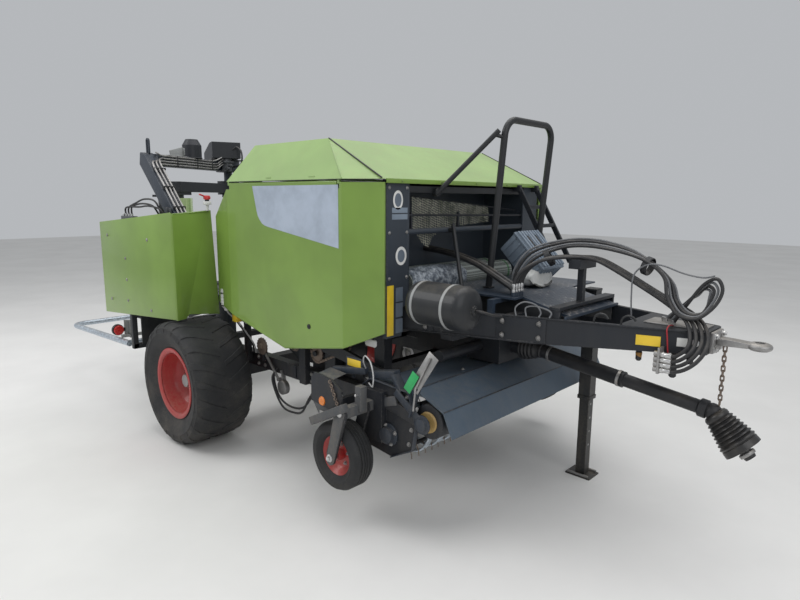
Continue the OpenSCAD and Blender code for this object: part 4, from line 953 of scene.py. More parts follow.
def net_store():
    """The rails, hanging net and wrapped roll in the open front compartment."""
    rails = [rod(at(2.05, -0.70, 2.012), at(2.05, 0.70, 1.99), 0.008, 12),
        rod(at(2.0, -0.70, 2.146), at(2.0, 0.70, 2.03), 0.004, 8)]
    for y in (-0.66, -0.15, 0.36):
        rails.append(bar(at(2.05, y, 1.9), at(2.05, y, 2.03), 0.012, 0.02, 0.002, X))
    finished(rails, "net_rails", dark_paint)
    def low_edge(y):
        marks = [(-0.60, 1.915), (-0.52, 1.875), (-0.46, 1.80), (-0.42, 1.772), (-0.37, 1.82), (-0.30, 1.895),
            (-0.1, 1.922), (0.3, 1.945)]
        for (y0, z0), (y1, z1) in zip(marks, marks[1:]):
            if y <= y1:
                return z0 + (z1 - z0) * (y - y0) / (y1 - y0)
        return marks[-1][1]
    columns, rows = 72, 18
    clear_selection()
    bpy.ops.mesh.primitive_grid_add(x_subdivisions=columns, y_subdivisions=rows)
    net = bpy.context.object
    for j in range(rows + 1):
        for i in range(columns + 1):
            y = -0.60 + 0.9 * i / columns
            top = 2.1415 - (y + 0.6) * 0.083
            t = j / rows
            sag = 0.012 * abs(sin(i * 0.52)) * (0.2 + 0.8 * (1 - t))
            fold = 0.012 * sin(i * 0.55 + 0.4 * t) * (0.35 + t) + 0.005 * sin(i * 1.3 + t * 3)
            net.data.vertices[j * (columns + 1) + i].co = at(2.0 + fold * 0.9 - 0.01 * t, y,
                top - sag - (top - low_edge(y)) * t)
    net.name = "hanging_net"
    net.data.materials.append(hung_net)
    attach(net, "machine")
    # crumpled film left on the front roll
    random.seed(5)
    rings = []
    centre_x, centre_z = FRONT_ROLL
    for i in range(46):
        y = -0.612 + 0.60 * i / 45
        ring = []
        for a in around(40):
            crease = 0.010 * sin(5 * a + 9 * y) * sin(23 * y + 2 * a) + 0.007 * random.random()
            lift = 0.022 * max(0.0, sin(a)) * (0.5 + 0.5 * sin(14 * y))
            r = 0.0905 + max(0.0, crease + lift)
            ring.append(at(centre_x + r * cos(a), y, max(centre_z + r * sin(a), 1.4412)))
        rings.append(ring)
    finished([skin(rings)], "roll_wrapping", crumpled_film, smooth=50)


both_sides(door_details)
roof_trim()
front_signs()
net_store()


def guard_panel(side, word):
    """Folded panel beside the wrapper, with its slanting second fold and its rolled upper edge."""
    p = on(side)
    corners = [p(-1.48, 1.4, 0.965), p(0.06, 1.4, 1.1), p(0.08, 1.39, 1.095), p(0.08, 1.39, 1.985), p(0.06, 1.4, 1.995),
        p(-1.48, 1.4, 1.87), p(0.054, 1.302, 1.097), p(0.044, 1.268, 1.13), p(-0.027, 1.016, 2.008),
        p(0.012, 0.965, 1.09), p(-0.03, 0.985, 2.008)]
    faces = [(0, 1, 4, 5), (1, 2, 3, 4), (2, 6, 7, 8, 3), (7, 9, 10, 8)]
    if side > 0:
        faces = [tuple(reversed(f)) for f in faces]
    finished([sheet_panel(corners, faces, 0.006)], f"guard_panel_{word}", green_paint, node=f"guard_{word}")
    hem = [rod(p(-1.476, 1.393, 1.866), p(0.06, 1.393, 1.985), 0.007, 10),
        rod(p(0.072, 1.386, 1.98), p(-0.032, 1.0, 2.0), 0.007, 10),
        rod(p(-1.476, 1.394, 0.968), p(-1.476, 1.394, 1.868), 0.006, 10)]
    finished(hem, f"guard_hem_{word}", green_paint)
    frame_bars = [bar(p(-0.9, 0.763, 0.70), p(-0.9, 1.387, 0.70), 0.05, 0.05, 0.004),
        bar(p(-0.9, 1.364, 0.676), p(-0.9, 1.364, 1.6), 0.05, 0.05, 0.004, Y),
        bar(p(-1.3, 1.384, 1.05), p(-1.3, 1.384, 1.8), 0.03, 0.02, 0.002, Y),
        bar(p(-0.4, 1.384, 1.1), p(-0.4, 1.384, 1.88), 0.03, 0.02, 0.002, Y),
        bar(p(-1.3, 1.38, 1.45), p(-0.4, 1.38, 1.45), 0.02, 0.03),
        bar(p(-0.9, 1.345, 1.0), p(-0.62, 0.78, 0.72), 0.03, 0.03, 0.003)]
    finished(frame_bars, f"guard_bracket_{word}", dark_paint)
    heads = [p(-0.9, 1.4, z) for z in (1.15, 1.35, 1.55)] + [p(x, 1.4, z) for x in (-1.3, -0.4) for z in (1.12, 1.75)]
    bolts(f"guard_bolts_{word}", heads, side * Y, 0.02, 0.006)


both_sides(guard_panel)


def tail_lamps(side, word):
    """Lamp on its pale board, and the side reflector on its dark plate."""
    x = -1.42
    def p(dx, y, z):
        return at(x + dx, side * y, z)
    board = [plate([(side * 1.15, 0.672), (side * 1.262, 0.684), (side * 1.262, 0.862), (side * 1.16, 0.85)], "X",
        p(0, 0, 0).x, p(0.006, 0, 0).x, 0.001), bar(p(0.02, 1.20, 0.672), p(0.02, 1.20, 0.86), 0.03, 0.03, 0.002, X),
        bar(p(0.02, 1.0, 0.70), p(0.02, 1.30, 0.70), 0.03, 0.03)]
    finished(board, f"lamp_board_{word}", pale_board)
    cup = turned([(0.0, 0.0), (0.056, 0.0), (0.058, 0.006), (0.058, 0.034), (0.052, 0.038), (0.0, 0.038)],
        p(0.0, 1.318, 0.765), -X, 36)
    arm = [bar(p(0.003, 1.25, 0.765), p(0.003, 1.33, 0.765), 0.04, 0.006, 0.001, X)]
    finished([cup] + arm, f"lamp_cup_{word}", black_plastic)
    glass = turned([(0.0, 0.036), (0.046, 0.036), (0.05, 0.042), (0.044, 0.052), (0.0, 0.058)], p(0.0, 1.318, 0.765),
        -X, 36)
    face = turned([(0.0, 0.0), (0.05, 0.0), (0.05, 0.006), (0.042, 0.012), (0.0, 0.014)], p(0.006, 1.318, 0.765), X, 36)
    lamp = finished([glass, face], f"tail_lamp_{word}", red_lens)
    spot = turned([(0.0, 0.0), (0.028, 0.0), (0.03, 0.004), (0.024, 0.01), (0.0, 0.012)], at(-1.30, side * 1.111, 0.71),
        side * Y, 28)
    finished([spot], f"side_reflector_{word}", orange_lens)
    plate_dark = [plate(side_view([(-1.36, 0.63), (-1.2, 0.60), (-1.12, 0.84), (-1.30, 0.84)]), "Y", side * 1.104,
        side * 1.112), bar(at(-1.24, side * 0.765, 0.72), at(-1.24, side * 1.106, 0.72), 0.05, 0.04, 0.003)]
    finished(plate_dark, f"lamp_bracket_{word}", dark_paint)
    return lamp


tail_lamp_pieces = both_sides(tail_lamps)
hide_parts("lamps")


# ---------------------------------------------------------------- air tank
def air_tank_piece():
    """Air tank with its collar, feet, drain, straps and pipe."""
    start, ahead = at(2.225, -0.805, 1.465), X
    end_shape = [(0.0, 0.0), (0.056, 0.004), (0.106, 0.018), (0.131, 0.040), (0.1385, 0.062), (0.1385, 0.068),
        (0.14, 0.070)]
    shell = turned(end_shape + [(r, 0.48 - x) for r, x in reversed(end_shape)], start, ahead, 64)
    collar = [rod(start + 0.476 * X, start + 0.488 * X, 0.03, 24, 0.003),
        rod(start + 0.48 * X, start + 0.492 * X, 0.018, 6)]
    feet = []
    for x in (2.305, 2.545):
        feet += [block(at(x, -0.80, 1.4003), at(x + 0.035, -0.53, 1.414), 0.002),
            block(at(x + 0.002, -0.67, 1.41), at(x + 0.033, -0.655, 1.48), 0.002)]
    drain = [rod(at(2.45, -0.805, 1.328), at(2.45, -0.805, 1.305), 0.014, 6),
        rod(at(2.45, -0.805, 1.31), at(2.45, -0.805, 1.292), 0.006, 12)]
    finished([shell] + collar + feet + drain, "air_tank_shell", black_paint, node="air_tank")
    straps = []
    for x in (0.08, 0.32):
        straps.append(turned([(0.1385, x), (0.1425, x), (0.1425, x + 0.020), (0.1385, x + 0.020)], start, ahead, 64))
        straps.append(rod(start + Vector((x + 0.017, 0.112, -0.095)), start + Vector((x + 0.017, 0.145, -0.045)), 0.007,
            10))
    finished(straps, "tank_straps", pale_board)
    elbow = [tube([start + 0.49 * X, start + 0.52 * X, start + Vector((0.54, 0.03, -0.01)),
        start + Vector((0.55, 0.09, -0.03)), start + Vector((0.56, 0.17, -0.045))], 0.008)]
    finished(elbow, "tank_pipe", hose_cover)


air_tank_piece()


# ---------------------------------------------------------------- grey ribbed box on the platform
def grey_box():
    """Ribbed box that leans on a filled bag, on the platform."""
    lean = radians(45)
    corner = at(2.25, 0.245, 1.5003 + 0.36 * sin(lean))
    down, out = Vector((cos(lean), 0, -sin(lean))), Vector((sin(lean), 0, cos(lean)))
    def p(a, y, b):
        return corner + down * a + y * Y + out * b
    def slab(a0, a1, y0, y1, b0, b1, edge=0.004):
        piece = block((a0, y0, b0), (a1, y1, b1), edge)
        piece.data.transform(Matrix(((down.x, 0, out.x, corner.x), (0, 1, 0, corner.y), (down.z, 0, out.z, corner.z),
            (0, 0, 0, 1))))
        return piece
    parts = [slab(0.004, 0.356, -0.143, 0.143, 0.004, 0.198, 0.010), slab(0.0, 0.36, -0.15, 0.15, 0.170, 0.188, 0.005)]
    for k in range(8):
        y = -0.128 + k * 0.0365
        wide = 0.011
        if k in (2, 5):
            parts += [slab(0.012, 0.06, y - wide, y + wide, 0.19, 0.21),
                slab(0.19, 0.348, y - wide, y + wide, 0.19, 0.21)]
        else:
            parts.append(slab(0.012, 0.348, y - wide, y + wide, 0.19, 0.21))
    for k in range(6):
        a = 0.035 + k * 0.058
        for y in (-0.15, 0.143):
            parts.append(slab(a - 0.009, a + 0.009, y, y + 0.007, 0.02, 0.165, 0.002))
    for k in range(7):
        y = -0.12 + k * 0.04
        for a in (0.0, 0.353):
            parts.append(slab(a, a + 0.007, y - 0.008, y + 0.008, 0.02, 0.165, 0.002))
    finished(parts, "ribbed_box_shell", grey_plastic, node="ribbed_box")
    slots = [slab(0.06, 0.19, y - 0.010, y + 0.010, 0.192, 0.2045, 0.003) for y in (-0.055, 0.0545)]
    finished(slots, "box_slots", black_plastic)
    # filled bag the box leans on
    random.seed(9)
    rings = []
    for i in range(25):
        t = i / 24
        width = 0.125 * (sin(pi * min(1, max(0, t))) ** 0.35 if 0 < t < 1 else 0.02) + 0.002
        ring = []
        for a in around(28):
            crease = 1 + 0.05 * sin(3 * a + 7 * t) + 0.04 * sin(11 * t + 5 * a)
            x = 2.53 + width * 0.85 * cos(a) * crease
            z = 1.503 + max(0.0, 0.062 + width * 0.5 * sin(a) * crease)
            ring.append(at(x, -0.02 + 0.34 * t, min(z, 1.5035 + (2.64 - x) * 1.0) if x > 2.6 else z))
        rings.append(ring)
    bag = finished([skin(rings)], "platform_bag", pale_bag, smooth=60)


grey_box()


# ---------------------------------------------------------------- drawbar, hitch, drive shaft and jack
BAR_OUT = Vector((-0.32, -0.947, 0)).normalized()


BAR_BACK_X, BAR_LONG, BAR_BACK_HALF, BAR_TIP_HALF = 1.9, 1.9, 0.76, 0.118


def bar_half(x):
    """How far the drawbar's side plates stand from its middle."""
    return BAR_BACK_HALF - (x - BAR_BACK_X) * (BAR_BACK_HALF - BAR_TIP_HALF) / BAR_LONG


def bar_face(x, z, out=0.0):
    """A place on the drawbar's right side plate."""
    return at(x, -bar_half(x) - out, z)


def drawbar_plate(x0, x1, z0, z1, name, finish):
    """A thin plate on the drawbar's right side."""
    corners = [bar_face(x0, z0), bar_face(x1, z0), bar_face(x1, z1), bar_face(x0, z1)]
    rings = [[c - BAR_OUT * 0.0006 for c in corners], [c + BAR_OUT * 0.002 for c in corners]]
    finished([skin(rings)], name, finish)


def drawbar_details():
    """Plates, seams, hose hooks, bolts and parked couplings on the drawbar."""
    drawbar_plate(3.45, 3.575, 1.292, 1.352, "drawbar_yellow_plate", yellow_sheet)
    drawbar_plate(3.655, 3.715, 1.306, 1.356, "drawbar_white_plate", white_sheet)
    out = BAR_OUT
    pin = bar_face(3.748, 1.335)
    finished([rod(pin, pin + out * 0.012, 0.022, 32, 0.003), rod(pin + out * 0.01, pin + out * 0.016, 0.012)],
        "drawbar_pin", bright_steel)
    # welded doubling plates and seams, hooks for the hoses, and plates on top
    doubling = []
    for s in (-1, 1):
        def face(x, z, d):
            return at(x, s * (bar_half(x) + d), z)
        for x0, x1, z0, z1 in ((1.93, 2.25, 1.242, 1.388), (2.66, 2.96, 1.24, 1.39)):
            doubling.append(bar(face(x0, (z0 + z1) / 2, 0.0035), face(x1, (z0 + z1) / 2, 0.0035), 0.007, z1 - z0))
        doubling.append(bar(face(1.93, 1.396, 0.004), face(3.79, 1.396, 0.004), 0.012, 0.010))
        doubling.append(bar(face(1.93, 1.236, 0.004), face(2.9, 1.236, 0.004), 0.012, 0.010))
    finished(doubling, "drawbar_doubling", dark_paint)
    hooks = []
    for x in (3.22, 3.365):
        y = 0.01 - bar_half(x)
        hooks.append(tube([at(x, y, 1.396), at(x, y, 1.42), at(x + 0.012, y, 1.444), at(x + 0.04, y, 1.457),
            at(x + 0.07, y, 1.45), at(x + 0.085, y, 1.432)], 0.007))
    finished(hooks, "hose_hooks", black_paint)
    top = [block(at(3.43, -0.09, 1.3995), at(3.77, 0.09, 1.408)), block(at(2.72, -0.46, 1.372), at(2.75, 0.46, 1.398))]
    finished(top, "drawbar_top_plate", worn_steel)
    # brake and light couplings parked under the front
    body = []
    for x, y, z0, z1, r in ((3.635, -0.135, 1.27, 1.118, 0.018), (3.45, -0.175, 1.27, 1.19, 0.015),
            (3.712, -0.10, 1.285, 1.205, 0.016)):
        body += [rod(at(x, y, z0), at(x, y, z1 + 0.03), r * 0.8, 20, 0.002),
            rod(at(x, y, z1 + 0.055), at(x, y, z1), r * 1.15, 24, 0.003),
            rod(at(x, y, z0 - 0.03), at(x, y, z0 - 0.042), r * 1.1, 24, 0.002),
            rod(at(x, y, z1 + 0.004), at(x, y, z1 - 0.006), r * 0.8, 20, 0.002)]
    finished(body, "parked_couplings", black_plastic)
    amber = [rod(at(3.45, -0.175, 1.236), at(3.452, -0.175, 1.19), 0.02, 24, 0.004, 0.014),
        rod(at(3.45, -0.175, 1.27), at(3.45, -0.175, 1.23), 0.012, 16)]
    finished(amber, "amber_coupling", amber_plastic)
    heads = [bar_face(x, z, 0.007) for x in (1.98, 2.2, 2.7, 2.92) for z in (1.27, 1.36)]
    bolts("drawbar_bolts_right", heads, out, 0.026, 0.012)
    left = [Vector((h.x, -h.y, h.z)) for h in heads]
    bolts("drawbar_bolts_left", left, Vector((out.x, -out.y, 0)), 0.026, 0.012)


drawbar_details()


def hitch_piece():
    """Forged towing eye: flanged root, tapering flat shank and the ring with its worn bush."""
    z = 1.34
    ring = turned(mirrored([(0.0252, -0.0225), (0.031, -0.0225), (0.045, -0.02), (0.058, -0.012), (0.062, -0.004)]),
        at(4.03, 0, z), Z, 56)
    shank = skin([[at(x, -w, z - h), at(x, w, z - h), at(x, w, z + h), at(x, -w, z + h)]
        for x, w, h in ((3.825, 0.045, 0.02), (3.9, 0.038, 0.019), (3.985, 0.04, 0.014))])
    root = block(at(3.8004, -0.09, z - 0.065), at(3.824, 0.09, z + 0.055), 0.005)
    finished([ring, soften(shank, 0.004), root], "towing_eye", worn_steel, node="hitch_eye")
    heads = [at(3.824, y, z + dz) for y in (-0.066, 0.066) for dz in (-0.042, 0.032)]
    bolts("towing_bolts", heads, X, 0.028, 0.016, finish=bright_steel)


hitch_piece()


def drive_shaft():
    """Guarded shaft that hangs on its chain, with the bellows and yoke at its free end."""
    top = at(2.5603, 0, 1.075)
    low = at(3.83, 0, 0.92)
    joint = top + 0.14 * X
    ahead = (low - joint).normalized()
    length = (low - joint).length
    bell = turned([(0.0, 0.0), (0.085, 0.0), (0.088, 0.006), (0.083, 0.016), (0.086, 0.03), (0.079, 0.04),
        (0.081, 0.054), (0.073, 0.065), (0.075, 0.08), (0.066, 0.092), (0.067, 0.108), (0.056, 0.125), (0.052, 0.15),
        (0.0, 0.16)], top, X, 48)
    def station(share):
        return joint + ahead * (length * share)
    sleeve = turned([(0.0, 0.0), (0.055, 0.0), (0.055, 0.012), (0.049, 0.02), (0.049, length * 0.52),
        (0.052, length * 0.525), (0.052, length * 0.535), (0.0415, length * 0.54), (0.0415, length * 0.93),
        (0.055, length * 0.94), (0.055, length * 0.975), (0.0, length)], joint, ahead, 40)
    ball = turned(mirrored([(0.0, -0.05), (0.02, -0.046), (0.036, -0.034), (0.047, -0.017), (0.05, 0.0)]), low, Y, 32)
    finished([bell, sleeve, ball], "drive_shaft_guard", black_plastic, node="pto_shaft")
    tilt = Vector((sin(radians(135)), 0, cos(radians(135))))
    folds = [(0.0505, 0.012), (0.062, 0.016), (0.070, 0.030), (0.071, 0.046)]
    for k in range(7):
        r, z = 0.0745 + 0.0048 * k, 0.052 + 0.0225 * k
        folds += [(r - 0.009, z), (r + 0.004, z + 0.009), (r + 0.006, z + 0.0125), (r + 0.003, z + 0.016)]
    folds += [(0.101, 0.212), (0.1055, 0.215), (0.1075, 0.25), (0.1045, 0.252), (0.100, 0.228), (0.0, 0.226)]
    bell_low = turned([(0.0, 0.05)] + [(0.0505, 0.03)] + folds, low, tilt, 60)
    yoke = [turned([(0.0176, 0.2255), (0.033, 0.2255), (0.034, 0.235), (0.034, 0.300), (0.031, 0.309), (0.0176, 0.309)],
        low, tilt, 36)]
    finished([bell_low] + yoke, "drive_shaft_bellows", cone_plastic, smooth=50, node="pto_cone")
    collar = [turned([(0.034, 0.27), (0.044, 0.27), (0.046, 0.274), (0.046, 0.286), (0.044, 0.29), (0.034, 0.29)], low,
        tilt, 36)]
    finished(collar, "yoke_collar", worn_steel)
    rings = [turned([(0.0496, 0.0), (0.053, 0.0), (0.053, 0.018), (0.0496, 0.018)], station(s), ahead, 40)
        for s in (0.06, 0.50)]
    finished(rings, "shaft_rings", worn_steel)


drive_shaft()


JACK_X, JACK_Y = 2.81, 0.53


def jack_details():
    """Head, crank and pin holes of the jack, and ribs on its foot."""
    x, y = JACK_X, JACK_Y
    finished([block(at(x - 0.05, y - 0.05, 1.455), at(x + 0.05, y + 0.05, 1.475), 0.004),
        block(at(x - 0.052, y - 0.052, 0.62), at(x + 0.052, y + 0.052, 0.65)),
        rod(at(x, y + 0.046, 1.35), at(x, y + 0.11, 1.35), 0.03, 24, 0.003),
        rod(at(x, y + 0.10, 1.35), at(x, y + 0.15, 1.35), 0.011, 16)], "jack_head", black_paint)
    finished([bar(at(x, y + 0.14, 1.35), at(x, y + 0.14, 1.16), 0.012, 0.03, 0.002, Y),
        rod(at(x, y + 0.135, 1.17), at(x, y + 0.24, 1.17), 0.012, 16, 0.003)], "jack_crank", worn_steel)
    holes = [at(x - 0.03775, y, z) for z in (0.25, 0.36, 0.47, 0.58)]
    finished([rod(h, h + 0.0755 * X, 0.009, 16) for h in holes] +
        [bar(at(x - 0.085, y + d, 0.0185), at(x + 0.085, y + d, 0.0185), 0.012, 0.018) for d in (-0.07, 0.07)],
        "jack_foot_ribs", worn_steel, "jack")


jack_details()


# ---------------------------------------------------------------- pick-up
REEL_X, REEL_Z = 2.23, 0.62
ROLLER_X, ROLLER_Z = 2.525, 0.77
TINE_STEP = 0.132


def pickup_side(side, word):
    """Cover, guide wheel arm, housings and bolts on one end of the pick-up."""
    p = on(side)
    # grey cover beside the guide wheel, folded at its front
    cover = [p(1.69, 1.243, 0.78), p(1.70, 1.243, 0.925), p(1.745, 1.243, 0.965), p(1.905, 1.243, 0.955),
        p(2.005, 1.243, 0.88), p(2.0, 1.243, 0.76), p(1.90, 1.243, 0.70), p(1.76, 1.243, 0.69), p(1.745, 1.12, 0.985),
        p(1.905, 1.12, 0.975), p(1.69, 1.12, 0.79), p(1.70, 1.12, 0.935)]
    faces = [(0, 1, 2, 3, 4, 5, 6, 7), (2, 8, 9, 3), (1, 11, 8, 2), (0, 10, 11, 1)]
    if side < 0:
        faces = [tuple(reversed(f)) for f in faces]
    finished([sheet_panel(cover, faces, 0.004)], f"pickup_side_cover_{word}", grey_paint, "pickup")
    spot = turned([(0.0, 0.0), (0.03, 0.0), (0.032, 0.005), (0.027, 0.011), (0.01, 0.009), (0.0, 0.012)],
        p(1.805, 1.243, 0.79), side * Y, 32)
    finished([spot], f"pickup_reflector_{word}", orange_lens, "pickup")
    strap = [block(p(1.775, 1.236, 0.69), p(1.815, 1.248, 0.72), 0.002),
        bar(p(1.79, 1.18, 0.72), p(1.79, 1.05, 0.72), 0.04, 0.02)]
    finished(strap, f"pickup_cover_strap_{word}", worn_steel, "pickup")
    # arm over the guide wheel: square adjusting post, cross tube and the outer fork plate
    outer = GUIDE_Y + 0.0825 + 0.012
    fork = [plate(side_view([(1.945, 0.45), (1.955, 0.43), (1.98, 0.42), (2.01, 0.432), (2.02, 0.455), (2.13, 0.80),
        (2.115, 0.83), (2.07, 0.845), (2.04, 0.82)]), "Y", side * outer, side * (outer + 0.016), 0.003),
        bar(p(1.80, outer + 0.006, 0.675), p(2.13, outer + 0.006, 0.845), 0.05, 0.055, 0.005),
        bar(p(2.095, 1.07, 0.80), p(2.095, outer + 0.01, 0.80), 0.06, 0.07, 0.006),
        bar(p(2.12, 1.19, 0.79), p(2.125, 1.19, 0.955), 0.055, 0.055, 0.004, Y),
        bar(p(2.095, 1.04, 0.80), p(2.30, 1.04, 0.865), 0.03, 0.06, 0.004)]
    finished(fork, f"guide_wheel_arm_{word}", grey_paint, "pickup")
    hub = [rod(p(GUIDE_X, outer + 0.012, GUIDE_Z), p(GUIDE_X, outer + 0.018, GUIDE_Z), 0.026, 28,
        0.002)] + nuts_at([p(GUIDE_X, outer + 0.018, GUIDE_Z)], side * Y, 0.03, 0.014)
    hub += [rod(p(2.12, 1.15, 0.90), p(2.12, 1.235, 0.90), 0.008, 12),
        rod(p(2.095, outer + 0.01, 0.80), p(2.095, outer + 0.03, 0.80), 0.02, 24, 0.002)]
    finished(hub, f"guide_wheel_nut_{word}", bright_steel, "pickup")
    # folded edge, bearing housings and bolts on the side plate
    rim_points = [(1.96, 0.88), (2.06, 0.958), (2.40, 0.943), (2.468, 0.74), (2.438, 0.572), (2.25, 0.472)]
    edge = [bar(p(x0, 1.04, z0), p(x1, 1.04, z1), 0.03, 0.008)
        for (x0, z0), (x1, z1) in zip(rim_points, rim_points[1:])]
    housings = [turned([(0.0, 0.0), (0.075, 0.0), (0.075, 0.012), (0.055, 0.016), (0.052, 0.045), (0.035, 0.052),
        (0.0, 0.054)], p(REEL_X, 1.035, REEL_Z), side * Y, 36),
        turned([(0.0, 0.0), (0.06, 0.0), (0.06, 0.010), (0.042, 0.014), (0.04, 0.03), (0.028, 0.036), (0.0, 0.038)],
        p(ROLLER_X, 1.052, ROLLER_Z), side * Y, 36)]
    link = [bar(p(2.30, 1.058, 0.93), p(2.52, 1.058, 0.78), 0.014, 0.05, 0.004),
        bar(p(2.44, 1.07, 0.80), p(2.51, 1.07, 1.0), 0.012, 0.035, 0.003, Y)]
    finished(edge + housings + link, f"pickup_side_fittings_{word}", slate_paint, "pickup")
    heads = [p(REEL_X + 0.063 * cos(a), 1.047, REEL_Z + 0.063 * sin(a)) for a in (0.4, 1.97, 3.54, 5.11)]
    heads += [p(x, 1.035, z) for x, z in ((2.0, 0.86), (2.06, 0.9), (2.38, 0.90), (2.42, 0.7), (2.40, 0.6), (2.1, 0.6),
        (2.02, 0.58))]
    bolts(f"pickup_side_bolts_{word}", heads, side * Y, 0.02, 0.011, body="pickup")


both_sides(pickup_side)


def pickup_extras():
    """Plates, handle, cable and chain on the pick-up's right end, then its reel, tines and bands."""
    p = on(-1)
    finished([block(p(1.855, 1.062, 1.012), p(1.985, 1.066, 1.062), 0.0006)], "pickup_yellow_plate", yellow_sheet,
        "pickup")
    holder = [bar(p(1.84, 1.058, 1.036), p(2.0, 1.058, 1.036), 0.008, 0.075),
        bar(p(1.9, 1.05, 1.03), p(1.9, 1.05, 0.93), 0.03, 0.014, 0.002, Y),
        bar(p(1.76, 1.10, 0.97), p(2.02, 1.04, 1.0), 0.05, 0.045, 0.006),
        bar(p(2.02, 1.0, 0.97), p(2.26, 1.0, 1.02), 0.07, 0.05, 0.008),
        bar(p(2.26, 1.02, 1.02), p(2.34, 1.03, 0.93), 0.06, 0.03, 0.004)]
    finished(holder, "pickup_plate_holder", slate_paint, "pickup")
    handle = [bar(p(2.475, 1.085, 0.985), p(2.60, 1.045, 1.215), 0.006, 0.085, 0.002, X),
        rod(p(2.50, 1.092, 1.0), p(2.585, 1.06, 1.2), 0.006, 10),
        rod(p(2.49, 1.10, 0.86), p(2.5, 1.092, 1.01), 0.006, 10)]
    finished(handle, "pickup_handle", worn_steel, "pickup")
    finished([bar(p(2.435, 1.10, 0.975), p(2.495, 1.085, 1.09), 0.003, 0.06, 0.001, X)], "pickup_green_tag",
        green_plastic, "pickup")
    loop = [p(2.02, 1.05, 1.02), p(2.04, 1.09, 1.08), p(2.09, 1.12, 1.13), p(2.15, 1.13, 1.10), p(2.175, 1.13, 1.02),
        p(2.16, 1.12, 0.95), p(2.12, 1.09, 0.925), p(2.06, 1.06, 0.93)]
    path = smooth_path(loop, 6)
    cable = finished([tube(path, 0.0045, 8, smooth=False)], "pickup_cable", white_cable, "pickup")
    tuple(loop[0])
    round(path_length(path), 3)
    chain = []
    for k in range(9):
        spot = p(1.90 + 0.013 * k, 1.255, 0.945 - 0.026 * k)
        piece = turned([(0.011 + 0.004 * cos(a), 0.004 * sin(a)) for a in around(8)], spot, (0, 1, 0) if k % 2
            else (0.9, 0.1, 0.4), 14)
        chain.append(piece)
    finished(chain, "pickup_chain", rusty_steel, "pickup")
    # reel with its bent double tines, and the bands between them
    tine = [tube([(0.118, 0.0, 0.0), (0.13, 0.0, 0.012), (0.155, 0.0, 0.006), (0.18, 0.0, -0.006), (0.2, 0.0, -0.022)],
        0.0034, 6, 2)]
    pair = joined(tine + [copied(tine[0], Matrix.Translation((0, 0.068, 0)))])
    centre = at(REEL_X, 0, REEL_Z)
    tines = row_of(pair, [Matrix.Translation(centre + (-0.96 + k * TINE_STEP) * Y) @
        Matrix.Rotation(-radians(90 * bank + 45), 4, "Y") for bank in range(4) for k in range(15)])
    finished(tines, "pickup_tines", rusty_steel, "reel", smooth=60)
    core = [turned(mirrored([(0.0252, -1.008), (0.09, -1.008), (0.09, -1.0), (0.05, -0.99)]), centre, Y, 36)]
    for bank in range(4):
        a = radians(90 * bank + 45)
        offset = spoke(a, 0.118)
        core.append(rod(centre + offset - Y, centre + offset + Y, 0.014, 16))
        for y in (-0.98, 0.0, 0.98):
            core.append(bar(centre + y * Y, centre + offset + y * Y, 0.012, 0.05, 0.002, Y))
    finished(core, "pickup_reel_core", dark_paint, "reel", node="pickup_reel")
    band_path = [(2.09, 0.80), (2.16, 0.79), (2.24, 0.785), (2.32, 0.76), (2.38, 0.70), (2.395, 0.62), (2.37, 0.54),
        (2.31, 0.475), (2.23, 0.455), (2.13, 0.47)]
    route = smooth_path([Vector((x - AXLE_TO_MIDDLE, 0, z)) for x, z in band_path], 4)
    rings = []
    for i, point in enumerate(route):
        ahead = heading(route, i)
        out = Vector((-ahead.z, 0, ahead.x))
        rings.append([point + y * Y + out * d for y, d in ((-0.025, 0.0), (-0.018, 0.012), (0.018, 0.012), (0.025, 0.0),
            (0.018, 0.009), (-0.018, 0.009))])
    bands = row_of(skin(rings), [Matrix.Translation((0, -0.858 - 0.031 + k * TINE_STEP + 0.066, 0)) for k in range(14)])
    finished(bands, "pickup_bands", zinc_coat, "pickup", smooth=45)


pickup_extras()


def press_roller_piece():
    """Press roller with straw wound on its ends, and the hood's seams and bolts."""
    centre, reach = at(ROLLER_X, 0, ROLLER_Z), 0.994
    drum = turned(mirrored([(0.0252, -reach), (0.10, -reach), (0.108, -reach + 0.004), (0.11, -reach + 0.01)]), centre,
        Y, 48)
    finished([drum], "press_roller_drum", dark_paint, "roller", node="press_roller")
    wound = []
    for s in (-1, 1):
        wound.append(turned([(0.026, 0.0), (0.062, 0.0), (0.067, 0.008), (0.06, 0.018), (0.064, 0.024), (0.026, 0.026)],
            centre + (s * (reach - 0.004)) * Y, s * Y, 30))
    finished(wound, "wound_straw", straw, "roller")
    # seams and bolts of the hood's folds
    seams = []
    for x, z in ((2.418, 0.958), (2.645, 0.862)):
        seams.append(bar(at(x, -0.998, z), at(x, 0.998, z), 0.01, 0.004, 0.001, (0.4, 0, 1)))
    finished(seams, "hood_folds", slate_paint, "pickup")
    heads = [at(x, y, z) for x, z in ((2.10, 0.937), (2.36, 0.9545)) for y in (-0.9, -0.45, 0.0, 0.45, 0.9)]
    bolts("hood_bolts", heads, (-0.06, 0, 1), 0.02, 0.010, body="pickup")


press_roller_piece()


# ---------------------------------------------------------------- wrapper
ROTOR_X, TABLE_X, TABLE_Z = -1.4, -1.4, 1.0
BEAM_X, BEAM_Y = -0.81, -1.15
BEAM_ALONG, BEAM_OUT = Vector((-0.4565, 0.8897, 0)), Vector((0.8897, 0.4565, 0))


def on_beam(s, out, z):
    """A place on the wrapper's top beam: how far along, how far out towards the front, and its height."""
    return at(BEAM_X, BEAM_Y, z) + BEAM_ALONG * s + BEAM_OUT * out


def on_column(t, y, out):
    """A place on the leaning column's front edge."""
    return at(-0.22 - 0.555 * t, y, 1.95 + 0.55 * t) + Vector((0.704, 0, 0.711)) * out


